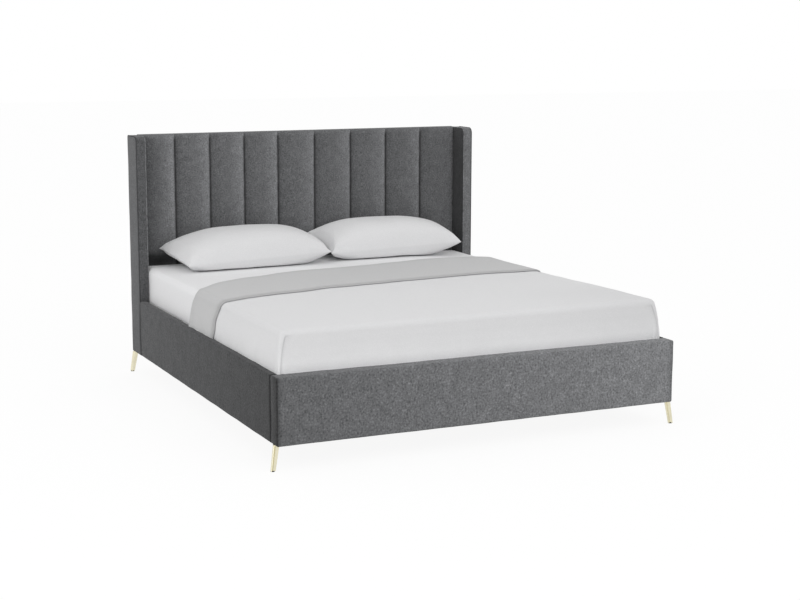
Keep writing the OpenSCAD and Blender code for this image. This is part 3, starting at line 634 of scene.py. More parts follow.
@dataclass
class Headboard:
    """The channelled panel between the wings, its foam, its seams and the lining behind it."""

    left_channels: int = 4
    left_width: float = 0.187
    right_channels: int = 5
    seam_pad: float = 0.004
    crown: float = 0.026
    board: float = 0.015
    lining: float = 0.001
    cover: float = 0.003
    roll: float = 0.024
    steps: int = 26
    rows: int = 92
    side_gap: float = 0.0004
    fullness: float = 0.52
    pucker: float = 0.0011
    lean: float = 0.0007
    seam_dip: float = 0.0025
    uneven: float = 0.0004
    # Painted light and shade on the channels: flanks turned right painted lighter, the wool a little darker
    # towards the right, and painted shade along the seams and below the pillows' tips.
    nap: Nap = Nap(0.96, 1.22, 2.05, (-0.10, 0.0, 0.0))
    seam_painted_shade: float = 0.7
    seam_reach: float = 0.0058
    corner_shadow: Shadow = Shadow((0.80, 1.03, 0.576), (0.09, 1.0, 0.030), 0.65)

    def edges(self) -> list[float]:
        """The places of the seams across the bed, from the left wing to the right one."""
        low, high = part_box("channel_cover")
        left = [low.x + i * self.left_width for i in range(self.left_channels + 1)]
        step = (high.x - left[-1]) / self.right_channels
        return left + [left[-1] + step * (i + 1) for i in range(self.right_channels)]

    def columns(self) -> tuple[np.ndarray, np.ndarray]:
        """The surface's columns: their places across the bed, and on their channels from -1 to 1."""
        edges = self.edges()
        across = [(edges[0] + self.side_gap, -1.0)]
        for a, b in zip(edges, edges[1:]):
            for k in range(1, self.steps + 1):
                u = -math.cos(math.pi * k / self.steps)
                across.append((a + (b - a) * (1 + u) / 2, u))
        across[-1] = (edges[-1] - self.side_gap, 1.0)
        return np.array([a[0] for a in across]), np.array([a[1] for a in across])

    def surface(self) -> tuple[np.ndarray, int, int]:
        """The front of the channels, rolled back over the top.

        Returns:
            The points, the number of rows and the number of columns.
        """
        low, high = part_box("channel_cover")
        back = high.y
        face = back - self.lining - self.board
        x, u = self.columns()
        swell = np.power(np.clip(1 - u * u, 0, 1), self.fullness)
        rows = []
        for z in np.linspace(low.z, high.z - self.roll, self.rows):
            share = 1 - 0.35 * math.exp(-(high.z - self.roll - z) / 0.03)
            depth = self.seam_pad + self.crown * swell * (0.93 + 0.07 * share)
            near = np.exp(-(1 - np.abs(u)) / 0.22)
            pucker = self.pucker * near * np.sin(z / 0.019 + 2.3 * np.sign(u) + x * 31)
            lean = self.lean * np.sin(z / 0.11 + x * 9)
            rows.append(np.stack([x, face - depth + pucker + lean, np.full(x.shape, z)], 1))
        for a in np.linspace(0, math.pi / 2, 12)[1:]:
            full = swell * (1 - 0.35 * math.sin(a) ** 2) + 0.35 * math.sin(a) ** 2 * 0.8
            depth = self.seam_pad + self.crown * full
            y = face - depth * math.cos(a)
            z = high.z - self.roll + self.roll * math.sin(a) - self.seam_dip * (1 - swell) * math.sin(a)
            rows.append(np.stack([x, y, z], 1))
        last = rows[-1]
        for t in np.linspace(0, 1, 7)[1:]:
            y = last[:, 1] + (back - last[:, 1]) * t
            rows.append(np.stack([x, y, last[:, 2] * (1 - t) + high.z * t], 1))
        return np.concatenate(rows), len(rows), len(x)

    def channels(self) -> bpy.types.Object:
        """The sewn cover with its nine channels."""
        points, rows, columns = self.surface()
        faces = [f[::-1] for f in grid_faces(rows, columns)]
        piece = mesh_piece("channel_cover_quilted", points, faces)
        thicken(piece, self.cover * 0.8)
        points, high = points_of(piece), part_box("channel_cover")[1]
        points[:, 1] = np.minimum(points[:, 1] + self.uneven * ripples(points, 0.12, 3), high.y)
        put_points(piece, points)
        shade(piece, 60)
        # Painted shade: darker along the seams' valleys, low down behind the pillows and below their tips, on
        # top of the painted light by facing.
        gap = np.abs(points[:, :1] - np.array(self.edges()[1:-1])).min(1)
        below = rise((high.z - 0.012 - points[:, 2]) / 0.015)
        shares = 1 - 0.45 * rise((0.66 - points[:, 2]) / 0.10)
        for side in Side:
            shares = shares * self.corner_shadow.on(side).share(points)
        self.nap.brush(piece, shares * (1 - self.seam_painted_shade * np.exp(-((gap / self.seam_reach) ** 2)) * below))
        dress(piece, FINISHES["grey_wool"], "bed_frame", ["channel_cover"])
        return piece

    def foam(self) -> bpy.types.Object:
        """The foam strips under the channels."""
        low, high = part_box("channel_foam")
        edges = self.edges()
        angle = np.linspace(0, math.pi, 10)
        per, count = len(angle) + 2, 14
        rings, faces = [], []
        for a, b in zip(edges, edges[1:]):
            start = len(rings) * per
            for z in np.linspace(low.z, high.z, count):
                drawn = max(0.0, z - (high.z - 0.02)) / 0.02
                x = (a + b) / 2 - (b - a - 0.002) / 2 * np.cos(angle)
                swell = np.power(np.sin(angle), 1.04) * (1 - 0.6 * drawn**2)
                y = high.y - 0.0012 - (high.y - low.y - 0.002) * swell
                ring = np.stack([x, y, np.full(x.shape, z)], 1)
                ends = np.array([[b - 0.001, high.y - 0.0002, z], [a + 0.001, high.y - 0.0002, z]])
                rings.append(np.concatenate([ring, ends]))
            for lower in range(start, start + (count - 1) * per, per):
                for c in range(per):
                    n = (c + 1) % per
                    faces.append([lower + c, lower + n, lower + per + n, lower + per + c])
            faces.append([start + c for c in range(per)][::-1])
            faces.append([start + (count - 1) * per + c for c in range(per)])
        piece = mesh_piece("channel_foam_strips", np.concatenate(rings), faces)
        shade(piece, 50)
        dress(piece, FINISHES["foam"], "bed_frame", ["channel_foam"])
        return piece

    def back(self) -> bpy.types.Object:
        """The lining cloth stapled to the rear of the board."""
        low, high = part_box("back_cloth")
        rows, columns = 60, 90
        up, across = np.linspace(low.z, high.z, rows), np.linspace(low.x + 0.001, high.x - 0.001, columns)
        z, x = np.meshgrid(up, across, indexing="ij")
        points = np.stack([x.ravel(), np.full(x.size, high.y), z.ravel()], 1)
        inside = np.minimum.reduce(
            [points[:, 0] - low.x, high.x - points[:, 0], points[:, 2] - low.z, high.z - points[:, 2]]
        )
        points[:, 1] -= 0.0003 * (1 + ripples(points, 0.3, 8)) * np.clip(inside / 0.05, 0, 1)
        piece = mesh_piece("rear_lining", points, grid_faces(rows, columns))
        thicken(piece, self.lining / 2)
        shade(piece)
        dress(piece, FINISHES["back_cloth"], "bed_frame", ["back_cloth"])
        return piece

    def build(self) -> None:
        """Makes every piece of the headboard between the wings."""
        self.channels()
        self.foam()
        self.back()


@dataclass
class PaddedBoard:
    """A board wrapped in padding and wool, with soft edges."""

    node: str
    name: str
    finish: Cloth
    edge: float = 0.008
    inner_edge: float = 0.003
    inner: Vector | None = None
    grow: Place = (0.0, 0.0, 0.0)
    sag: float = 0.0
    face: float = 0.016
    margin: float = 0.015
    swell: float = 0.0012
    uneven: float = 0.0005
    corner: float = 0.0
    upright: float = 0.0
    nap: Nap = Nap()
    shadows: Sequence[Shadow] = ()
    seed: int = 1

    def blank(self) -> bpy.types.Object:
        """The wrapped board's outline: a block with its corners and edges rounded."""
        low, high = self.box()
        deselect()
        bpy.ops.mesh.primitive_cube_add(size=1, location=(low + high) / 2)
        piece = bpy.context.object
        piece.name = piece.data.name = self.name
        piece.scale = high - low
        apply_place(piece)
        if self.inner is not None:
            wall = (low + high) / 2 + Vector(i * s / 2 for i, s in zip(self.inner, high - low))
            self.round_off(
                piece,
                self.inner_edge,
                lambda p, q: all(abs((v - wall).dot(self.inner)) < TOUCH for v in (p, q)),
            )
        if self.corner:
            self.round_off(
                piece,
                self.corner,
                lambda p, q: all(v.z > high.z - TOUCH and v.y < low.y + TOUCH for v in (p, q)),
            )
        if self.upright:
            self.round_off(
                piece,
                self.upright,
                lambda p, q: (p - q).xy.length < TOUCH and p.y < low.y + TOUCH,
            )
        self.round_off(piece, self.edge, lambda p, q: True)
        return piece

    def box(self) -> tuple[Vector, Vector]:
        """The wrapped board's lowest and highest corners."""
        low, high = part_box(self.node)
        return low - Vector(self.grow) - Vector((0, 0, self.sag)), high + Vector(self.grow)

    @staticmethod
    def round_off(piece: bpy.types.Object, radius: float, test: Callable[[Vector, Vector], bool]) -> None:
        """Bevels the sharp edges that pass a test.

        Args:
            piece: the piece.
            radius: the radius of the round edge.
            test: whether an edge between two points is rounded.
        """
        pick(piece)
        bpy.ops.object.mode_set(mode="EDIT")
        bm = bmesh.from_edit_mesh(piece.data)
        for edge in bm.edges:
            sharp = len(edge.link_faces) == 2 and edge.calc_face_angle(0.0) > math.radians(40)
            edge.select_set(sharp and test(edge.verts[0].co, edge.verts[1].co))
        bmesh.update_edit_mesh(piece.data)
        bpy.ops.mesh.bevel(offset=radius, segments=6, affect="EDGES")
        bpy.ops.object.mode_set(mode="OBJECT")

    def soften(self, piece: bpy.types.Object) -> None:
        """Turns the block into padded cloth: even faces, a slight swell and small unevenness."""
        low, high = self.box()
        bm = bmesh.new()
        bm.from_mesh(piece.data)
        for axis, way in enumerate(Matrix.Identity(3)):
            for k in range(int((high[axis] - low[axis] - 2 * self.margin) / self.face)):
                place = way * (low[axis] + self.margin + self.face * (k + 0.5))
                whole = [*bm.verts, *bm.edges, *bm.faces]
                bmesh.ops.bisect_plane(bm, geom=whole, plane_co=place, plane_no=way)
        bmesh.ops.triangulate(bm, faces=[f for f in bm.faces if len(f.verts) > 4])
        bm.to_mesh(piece.data)
        bm.free()
        points, out = points_of(piece), points_of(piece, "normal")
        size = np.array(high - low)
        share = np.abs((points - np.array(low + high) / 2) / (size / 2))
        inner = np.delete(share, int(np.argmin(size)), axis=1)
        bulge = (1 - inner[:, 0] ** 6) * (1 - inner[:, 1] ** 6)
        lift = self.swell * (bulge - 0.5) + self.uneven * ripples(points, 0.16, self.seed)
        put_points(piece, points + out * lift[:, None])

    def build(self) -> bpy.types.Object:
        """Makes the wrapped board and dresses it."""
        piece = self.blank()
        self.soften(piece)
        shade(piece)
        # Painted light and shade: painted shadows darken joints and corners, and faces are painted lighter or
        # darker by which way they turn.
        points, share = points_of(piece), 1.0
        for shadow in self.shadows:
            share = share * shadow.share(points)
        self.nap.brush(piece, share)
        dress(piece, self.finish, "bed_frame", [self.node])
        return piece


@dataclass
class SeamLine:
    """A line of stitching, piping or tape along a soft edge."""

    name: str
    path: Sequence[Place]
    radius: float = 0.0012
    closed: bool = False

    def tube(self) -> bpy.types.Object:
        """A fine tube along the path."""
        curve = bpy.data.curves.new(self.name, "CURVE")
        curve.dimensions = "3D"
        curve.bevel_depth = self.radius
        curve.bevel_resolution = 2
        curve.use_fill_caps = not self.closed
        line = curve.splines.new("POLY")
        line.use_cyclic_u = self.closed
        line.points.add(len(self.path) - 1)
        for point, place in zip(line.points, self.path):
            point.co = (*place, 1)
        pick(add(self.name, curve))
        bpy.ops.object.convert(target="MESH")
        piece = bpy.context.object
        shade(piece)
        return piece

    def build(self, finish: Cloth) -> bpy.types.Object:
        """Lays the line along a wrapped board, in a finish."""
        return dress(self.tube(), finish, "bed_frame")


@dataclass
class Upholstery:
    """The wrapped wings, side rails and foot rail, with the seams on their edges."""

    wing_corner: float = 0.028
    wing_edge: float = 0.007
    rail_edge: float = 0.008
    foot_corner: float = 0.012
    padding: float = 0.0025
    rail_sag: float = 0.004
    wing_sag: float = 0.005
    # Painted light and shade on the wrapped boards: faces lighter or darker by which way they turn, the foot
    # rail lighter towards the right and the side rails towards the head, the right wing's inner face dark as
    # it lies in shade, and painted shadows at the joints, round the foot rail's corners and low on the wings.
    foot_painted_light: Nap = Nap(0.73, 1.72, 1.4, (0.29, 0.0, 0.0))
    rail_painted_light: Nap = Nap(0.63, 0.6, 0.9, (0.0, 0.34, 0.0))
    wing_painted_lights: ClassVar[dict[Side, Nap]] = {Side.LEFT: Nap(1.12, 0.90, 0.8), Side.RIGHT: Nap(0.42, 1.58, 1.2)}
    foot_shadows: Sequence[Shadow] = (Shadow((0.942, -1.036, 0.25), (0.010, 0.024, 1.0), 0.48),)
    wing_shadows: Sequence[Shadow] = (
        Shadow((0.94, 0.899, 0.2), (0.1, 0.016, 0.16), 0.4),
        Shadow((0.94, 0.95, 0.1), (0.1, 1.0, 0.17), 0.14),
    )
    rail_shadows: Sequence[Shadow] = (
        Shadow((0.926, -0.976, 0.25), (0.1, 0.014, 1.0), 0.45),
        Shadow((0.926, 0.895, 0.25), (0.1, 0.022, 1.0), 0.45),
    )
    piping_inset: float = 0.0015

    def boards(self) -> list[PaddedBoard]:
        """Every wrapped board of the bed."""
        foot = PaddedBoard(
            "foot_rail_cover",
            "foot_rail_wool",
            WOOL_RAIL,
            self.rail_edge,
            inner=Vector((0, 1, 0)),
            grow=(self.padding, 0.0005, 0.0),
            sag=self.rail_sag,
            upright=self.foot_corner,
            nap=self.foot_painted_light,
            shadows=[shadow.on(side) for side in Side for shadow in self.foot_shadows],
            seed=5,
        )
        made = [foot]
        for side in Side:
            wing = PaddedBoard(
                f"wing_cover_{side.word}",
                f"wing_{side.word}_wool",
                FINISHES["grey_wool"],
                self.wing_edge,
                grow=(self.padding, 0.0, 0.0),
                corner=self.wing_corner,
                sag=self.wing_sag,
                nap=self.wing_painted_lights[side],
                shadows=[shadow.on(side) for shadow in self.wing_shadows],
                seed=11 + side.value,
            )
            rail = PaddedBoard(
                f"side_rail_cover_{side.word}",
                f"side_rail_{side.word}_wool",
                WOOL_RAIL,
                self.rail_edge,
                inner=Vector((-side.value, 0, 0)),
                grow=(self.padding, 0.0022, 0.0),
                sag=self.rail_sag,
                nap=self.rail_painted_light,
                shadows=[shadow.on(side) for shadow in self.rail_shadows],
                seed=21 + side.value,
            )
            made += [wing, rail]
        return made

    def wing_line(self, side: Side, outer: bool) -> list[Place]:
        """A line up a wing's front edge, round its corner and back along its top.

        Args:
            side: which wing.
            outer: whether it is the edge away from the bed.

        Returns:
            The line's points.
        """
        low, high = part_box(f"wing_cover_{side.word}")
        walls = sorted((abs(low.x), abs(high.x)))
        x = side.value * (walls[1] - self.piping_inset if outer else walls[0] + self.piping_inset)
        y, z, radius = low.y + self.piping_inset, high.z - self.piping_inset, self.wing_corner
        line = [(x, y, low.z + 0.01 + (z - radius - low.z - 0.01) * k / 40) for k in range(40)]
        for k in range(9):
            a = math.pi / 2 * k / 8
            line.append((x, y + radius * (1 - math.cos(a)), z - radius * (1 - math.sin(a))))
        return line + [(x, high.y - 0.008, z)]

    def seams(self) -> list[tuple[SeamLine, Cloth]]:
        """The piping on the wings' edges and beside the foot rail's joints, each with its finish."""
        low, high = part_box("foot_rail_cover")
        made = []
        for side in Side:
            x = side.value * (high.x + 0.0002)
            path = [(x, high.y - 0.005, low.z + 0.012 + (high.z - low.z - 0.024) * k / 12) for k in range(13)]
            made.append((SeamLine(f"foot_rail_piping_{side.word}", path, 0.0016), SHADED_SEAM))
            made.append((SeamLine(f"wing_seam_{side.word}", self.wing_line(side, True), 0.0026), SHADED_SEAM))
            made.append((SeamLine(f"wing_piping_{side.word}", self.wing_line(side, False), 0.0022), LIT_PIPING))
        return made

    def build(self) -> None:
        """Makes every wrapped board and its seams."""
        for board in self.boards():
            board.build()
        for seam, finish in self.seams():
            seam.build(finish)


RIGHT_EDGE: Profile = (
    (-0.97, -0.006), (-0.75, -0.004), (-0.5, 0.001), (-0.2, 0.008), (0, 0.014), (0.4, 0.018),
)


def sunk(x: np.ndarray, y: np.ndarray) -> np.ndarray:
    """How much lower the bedding lies beside the bed's right edge, less so towards the foot."""
    return np.interp(y, *zip(*RIGHT_EDGE)) * rise((x - 0.45) / 0.45)


@dataclass(frozen=True)
class BedForm:
    """The rounded block that a sheet is laid over, and how flat cloth follows it."""

    half: float
    foot: float
    head: float
    top: float
    edge: float
    crown: float = 0.006
    flare: float = 0.0
    tuck: float = 0.0
    squareness: float = 2.0
    fall: float = 0.16

    @classmethod
    def inside(cls, node: str, gaps: tuple[float, float, float, float], edge: float) -> "BedForm":
        """A form inside a node's box.

        Args:
            node: the node.
            gaps: how far inside its sides, foot, head and top lie.
            edge: the radius of its rounded edges.

        Returns:
            The form.
        """
        low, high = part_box(node)
        side, foot, head, top = gaps
        return cls(high.x - side, low.y + foot, high.y - head, high.z - top, edge)

    @property
    def flat_half(self) -> float:
        """Half the width of the flat top."""
        return self.half - self.edge

    @property
    def flat_foot(self) -> float:
        """Where the flat top starts at the foot."""
        return self.foot + self.edge

    @property
    def flat_head(self) -> float:
        """Where the flat top ends at the head."""
        return self.head - self.edge

    @property
    def turn(self) -> float:
        """The length of cloth round the top's edge."""
        return self.edge * math.pi / 2

    def place(self, across: np.ndarray, along: np.ndarray, lift: np.ndarray | float = 0.0) -> np.ndarray:
        """Where points of the flat cloth come to lie.

        Args:
            across: how far they are from the bed's middle line, over the edge and down.
            along: their y on the top, running on over the edges and down.
            lift: how far they lie off the form.

        Returns:
            Rows of x, y and z.
        """
        over_side = np.maximum(np.abs(across) - self.flat_half, 0)
        over_end = np.maximum(np.maximum(self.flat_foot - along, along - self.flat_head), 0)
        over = np.maximum(over_side, over_end)
        safe = np.where(over > 0, over, 1)
        turn = math.pi / 4 * (1 + (over_side - over_end) / safe)
        angle = np.minimum(over, self.turn) / self.edge
        down = np.maximum(over - self.turn, 0)
        out = (self.edge + lift) * np.sin(angle)
        drop = np.minimum(down / self.fall, 1)
        out = out + self.flare * (1.15 * drop**2 / (drop + 0.15) + 0.28 * np.sin(math.pi * drop))
        out = out - self.tuck * rise((down - self.fall) / 0.06)
        square = np.abs(np.sin(turn)) ** self.squareness + np.abs(np.cos(turn)) ** self.squareness
        out = out * square ** (-1 / self.squareness)
        x = np.sign(across) * (np.minimum(np.abs(across), self.flat_half) + out * np.sin(turn) * (over > 0))
        end = np.where(along < 0, -1, 1)
        y = np.clip(along, self.flat_foot, self.flat_head) + end * out * np.cos(turn) * (over > 0)
        middle = (self.foot + self.head) / 2
        away = np.abs(np.clip(along, self.flat_foot, self.flat_head) - middle) / (self.flat_head - middle)
        swell = (1 - np.minimum(np.abs(across) / self.flat_half, 1) ** 2) * (1 - np.minimum(away, 1) ** 4)
        z = self.top + self.crown * swell - self.edge + (self.edge + lift) * np.cos(angle) - down
        z = z - sunk(across, along) * np.cos(angle)
        return np.stack([x, y, z], -1)


@dataclass
class Mattress:
    """The mattress under the sheet: a quilted top, a plain border and taped edges."""

    edge: float = 0.026
    gaps: tuple[float, float, float, float] = (0.0045, 0.0105, 0.003, 0.0085)
    floor_gap: float = 0.001
    quilt: float = 0.11
    depth: float = 0.0022
    tape: float = 0.0032

    def build(self) -> None:
        """Makes the mattress and its two taped edges."""
        low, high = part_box("mattress")
        form = BedForm.inside("mattress", self.gaps, self.edge)
        down = form.turn + high.z - low.z - self.gaps[3] - self.edge - self.floor_gap
        across = spread(-form.flat_half, form.flat_half, 72, down, 14)
        along = spread(form.flat_foot, form.flat_head, 80, down, 14)
        grid_y, grid_x = np.meshgrid(along, across, indexing="ij")
        points = form.place(grid_x.ravel(), grid_y.ravel())
        u, v = (grid_x + grid_y).ravel() / self.quilt, (grid_x - grid_y).ravel() / self.quilt
        on_top = rise((points[:, 2] - form.top + 0.02) / 0.02)
        stitched = np.minimum(np.abs(np.sin(math.pi * u / 2)), np.abs(np.sin(math.pi * v / 2)))
        points[:, 2] -= self.depth * on_top * (1 - np.sqrt(stitched))
        piece = mesh_piece("mattress_block", points, grid_faces(len(along), len(across)))
        pick(piece)
        bpy.ops.object.mode_set(mode="EDIT")
        bpy.ops.mesh.select_all(action="DESELECT")
        bpy.ops.mesh.select_non_manifold()
        bpy.ops.mesh.fill()
        bpy.ops.mesh.select_all(action="SELECT")
        bpy.ops.mesh.normals_make_consistent(inside=False)
        bpy.ops.object.mode_set(mode="OBJECT")
        shade(piece, 60)
        dress(piece, FINISHES["ticking"], "mattress", ["mattress"])
        for end, z in (("top", form.top - self.edge * 0.9), ("bottom", low.z + 0.012)):
            line = SeamLine(f"mattress_tape_{end}", self.ring(form, z), self.tape, closed=True)
            dress(line.tube(), FINISHES["webbing"], "mattress")

    def ring(self, form: BedForm, z: float) -> list[Place]:
        """A line round the mattress at a height, just inside its side."""
        reach = self.edge - self.tape * 0.75
        made = []
        for x, y, start in ((1, 1, 0), (-1, 1, 90), (-1, -1, 180), (1, -1, 270)):
            middle = (x * form.flat_half, form.flat_head if y > 0 else form.flat_foot)
            for k in range(9):
                a = math.radians(start + 90 * k / 8)
                made.append((middle[0] + reach * math.cos(a), middle[1] + reach * math.sin(a), z))
        return made


def spread(low: float, high: float, inner: int, skirt: float, outer: int) -> np.ndarray:
    """Places across a form: even on its top, then closer together down its two sides.

    Args:
        low: where the flat top starts.
        high: where it ends.
        inner: the number of steps on the top.
        skirt: the length of cloth down each side.
        outer: the number of steps down each side.

    Returns:
        The places, in order.
    """
    steps = skirt * (np.arange(1, outer + 1) / outer) ** 1.25
    return np.concatenate([low - steps[::-1], np.linspace(low, high, inner + 1), high + steps])


@dataclass
class FittedSheet:
    """The white sheet that is stretched round the mattress, with its elastic hem underneath."""

    edge: float = 0.030
    gaps: tuple[float, float, float, float] = (0.0004, 0.0086, 0.0006, 0.0062)
    floor_gap: float = 0.0004
    cloth: float = 0.0007
    under: float = 0.07
    hem_rows: int = 8
    slack: float = 0.0012

    def build(self) -> bpy.types.Object:
        """Makes the sheet."""
        low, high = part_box("fitted_sheet")
        form = BedForm.inside("fitted_sheet", self.gaps, self.edge)
        depth = form.turn + high.z - self.gaps[3] - low.z - self.edge - self.floor_gap
        across = spread(-form.flat_half, form.flat_half, 120, depth, 30)
        along = spread(form.flat_foot, form.flat_head, 130, depth, 30)
        grid_y, grid_x = np.meshgrid(along, across, indexing="ij")
        points = form.place(grid_x.ravel(), grid_y.ravel())
        faces = grid_faces(len(along), len(across))
        rim = self.rim(len(along), len(across))
        points, faces = self.hem(points, faces, rim)
        side = rise((form.top - 0.02 - points[:, 2]) / 0.06)
        taut = np.stack([points[:, 0] * 0.35, points[:, 1] * 0.35, points[:, 2]], 1)
        soft = ripples(points, 0.35, 31) * 0.5 + ripples(taut, 0.11, 32) * side
        middle = np.array([0, (form.foot + form.head) / 2, 0])
        inward = np.sign(points - middle) * np.array([1, 1, 0]) * side[:, None]
        points = points - inward * (self.slack * 0.5 * (1 + np.clip(soft, -1, 1)))[:, None]
        piece = mesh_piece("fitted_sheet_cloth", points, faces)
        thicken(piece, self.cloth)
        shade(piece)
        dress(piece, FINISHES["white_cotton"], "mattress", ["fitted_sheet"])
        return piece

    @staticmethod
    def area(piece: bpy.types.Object) -> float:
        """The cut's area: half of all its faces, as both sides of the cloth are modelled."""
        return sum(face.area for face in piece.data.polygons) / 2

    @staticmethod
    def rim(rows: int, columns: int) -> list[int]:
        """The numbers of the grid's outer points, in order round it."""
        bottom = list(range(columns))
        right = [r * columns + columns - 1 for r in range(1, rows)]
        top = [(rows - 1) * columns + c for c in range(columns - 2, -1, -1)]
        left = [r * columns for r in range(rows - 2, 0, -1)]
        return bottom + right + top + left

    def hem(self, points: np.ndarray, faces: Faces, rim: list[int]) -> tuple[np.ndarray, Faces]:
        """Adds the gathered hem that the elastic pulls in under the mattress.

        Args:
            points: the sheet so far.
            faces: its faces.
            rim: its outer points, in order.

        Returns:
            The points and faces with the hem.
        """
        edge = points[rim]
        middle = points.mean(0)
        inward = -np.sign(edge - middle)
        at_end = np.abs(edge[:, 1] - middle[1]) > np.abs(edge[:, 1] - middle[1]).max() - 0.02
        at_side = np.abs(edge[:, 0]) > np.abs(edge[:, 0]).max() - 0.02
        inward = inward * np.stack([at_side, at_end, np.zeros(len(rim))], 1)
        rows, last, start = [points], rim, len(points)
        for k in range(1, self.hem_rows + 1):
            t = k / self.hem_rows
            row = edge + inward * self.under * t
            row[:, 2] = edge[:, 2] - 0.0004 * math.sin(math.pi * t / 2)
            rows.append(row)
            new = range(start, start + len(rim))
            pairs = list(zip(last, new))
            faces += [[b[0], a[0], a[1], b[1]] for a, b in zip(pairs, pairs[1:] + pairs[:1])]
            last, start = new, new.stop
        return np.concatenate(rows), faces


@dataclass
class Coverlet:
    """The white coverlet, tucked in at the sides and foot, with its grey side folded back at the head."""

    edge: float = 0.026
    gap: float = 0.0158
    top_gap: float = 0.0135
    floor_gap: float = 0.002
    head: float = 1.0
    cloth: float = 0.0022
    fold: float = 0.0022
    crease_place: float = 0.0335
    flare: float = 0.0152
    tuck: float = 0.012
    squareness: float = 7.0
    band_lift: float = 0.0070
    hem_line: float = 0.014
    rear: Profile = (
        (-1.13, 0.17), (-1.0513, 0.152), (-1.0057, 0.1374), (-0.9661, 0.1288), (-0.9314, 0.1175),
        (-0.912, 0.102), (-0.893, 0.088), (-0.87, 0.105), (-0.842, 0.1344), (-0.7881, 0.1933),
        (-0.7338, 0.2381), (-0.6747, 0.2657), (-0.5853, 0.3045), (-0.4861, 0.321), (-0.3862, 0.3575),
        (-0.2717, 0.3844), (-0.1608, 0.3975), (-0.0504, 0.406), (0.0702, 0.4303), (0.1924, 0.4561),
        (0.313, 0.4742), (0.4378, 0.4972), (0.5669, 0.5245), (0.7, 0.567), (0.81, 0.595),
        (0.86, 0.58), (0.95, 0.49), (1.13, 0.44),
    )
    front: Profile = (
        (-1.13, -0.163), (-1.0568, -0.1797), (-1.0088, -0.1973), (-0.9622, -0.2105), (-0.9382, -0.2229),
        (-0.9141, -0.24), (-0.894, -0.252), (-0.876, -0.25), (-0.8563, -0.242), (-0.8376, -0.235),
        (-0.7689, -0.2116), (-0.6708, -0.1813), (-0.622, -0.171), (-0.4827, -0.1516), (-0.358, -0.1211),
        (-0.2668, -0.1089), (-0.0768, -0.0957), (0.1837, -0.0601), (0.4705, -0.0279), (0.6788, 0.01),
        (0.8635, 0.0536), (0.95, 0.05), (1.13, 0.03),
    )
    # Painted light and shade on the foot and the flanks: darker on the lit rounded edges, and on the foot
    # lighter low down, where it lies in shade.
    foot_tint: Profile = (
        (-0.05, 1), (0, 1), (0.008, 0.98), (0.026, 0.935), (0.041, 0.94),
        (0.08, 0.94), (0.1, 0.97), (0.125, 1.01), (0.15, 1.09), (0.18, 1.09),
    )
    flank_tint: Profile = ((-0.01, 1), (0, 0.98), (0.02, 0.94), (0.041, 0.95), (0.1, 0.965), (0.2, 0.985))

    def form(self) -> BedForm:
        """The form that the coverlet lies on."""
        low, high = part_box("coverlet")
        return BedForm(
            high.x - self.gap,
            low.y + self.gap,
            self.head,
            high.z - self.top_gap,
            self.edge,
            flare=self.flare,
            tuck=self.tuck,
            squareness=self.squareness,
        )

    def rows(self, form: BedForm, across: np.ndarray, depth: float) -> np.ndarray:
        """The flat cloth row by row, from the hem at the foot to the band's front edge.

        Args:
            form: the form under the cloth.
            across: the places of each row's points across the bed.
            depth: the length of cloth down the foot.

        Returns:
            For each row its points' places along the bed, their lift and their tint.
        """
        rear = smooth_line(self.rear, across)
        front = smooth_line(self.front, across)
        front = front + 0.0025 * np.sin(across * 31) + 0.0015 * np.sin(across * 83 + 1)
        width = rear - front
        steps = depth * (np.arange(1, 57) / 56) ** 1.1
        rows = [(y, 0.0, 1.0) for y in form.flat_foot - steps[::-1]]
        rows += [(form.flat_foot + (rear - form.flat_foot) * t, 0.0, 1.0) for t in np.linspace(0, 1, 80)]
        radius = self.band_lift / 2
        for k in range(1, 8):
            a = math.pi * k / 8
            rows.append((rear + radius * 1.3 * math.sin(a), radius * (1 - math.cos(a)), 1.0))
        for t in 1 - np.linspace(1, 0, 46) ** 1.6:
            away = width * (1 - t)
            groove = 0.0007 * np.exp(-(((away - self.hem_line) / 0.003) ** 2))
            slack = 0.0015 * np.sin(math.pi * t) ** 0.5
            curl = (self.band_lift - self.cloth - 0.0010) * np.exp(-((away / 0.007) ** 2))
            shadow = 0.24 * np.exp(-((away / 0.030) ** 2)) + 0.05 * np.exp(-((width * t / 0.04) ** 2))
            rows.append((rear + (front - rear) * t, self.band_lift - slack - groove - curl, 1 - shadow))
        return np.array([[np.broadcast_to(value, across.shape) for value in row] for row in rows])

    def build(self) -> bpy.types.Object:
        """Makes the coverlet, its fold and its hem."""
        low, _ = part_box("coverlet")
        form = self.form()
        depth = form.turn + form.top - low.z - self.edge - self.floor_gap
        across = spread(-form.flat_half, form.flat_half, 90, depth, 56)
        rows = self.rows(form, across, depth)
        grid_across = np.tile(across, len(rows))
        grid_along, lift, shares = (rows[:, i].ravel() for i in range(3))
        side, end = np.abs(grid_across) - form.flat_half, form.flat_foot - grid_along
        over_side, over_end = np.maximum(side, 0), np.maximum(end, 0)
        crease = np.where(end > 0.02, end - side - self.crease_place, 1.0)
        step = self.fold * (0.5 - 0.5 * np.tanh(crease / 0.0035)) * self.fold_reach(over_side, over_end)
        waves = self.unevenness(grid_across, grid_along, over_side, over_end)
        points = form.place(grid_across, grid_along, lift + waves + step)
        piece = mesh_piece("coverlet_cloth", points, grid_faces(len(rows), len(across)))
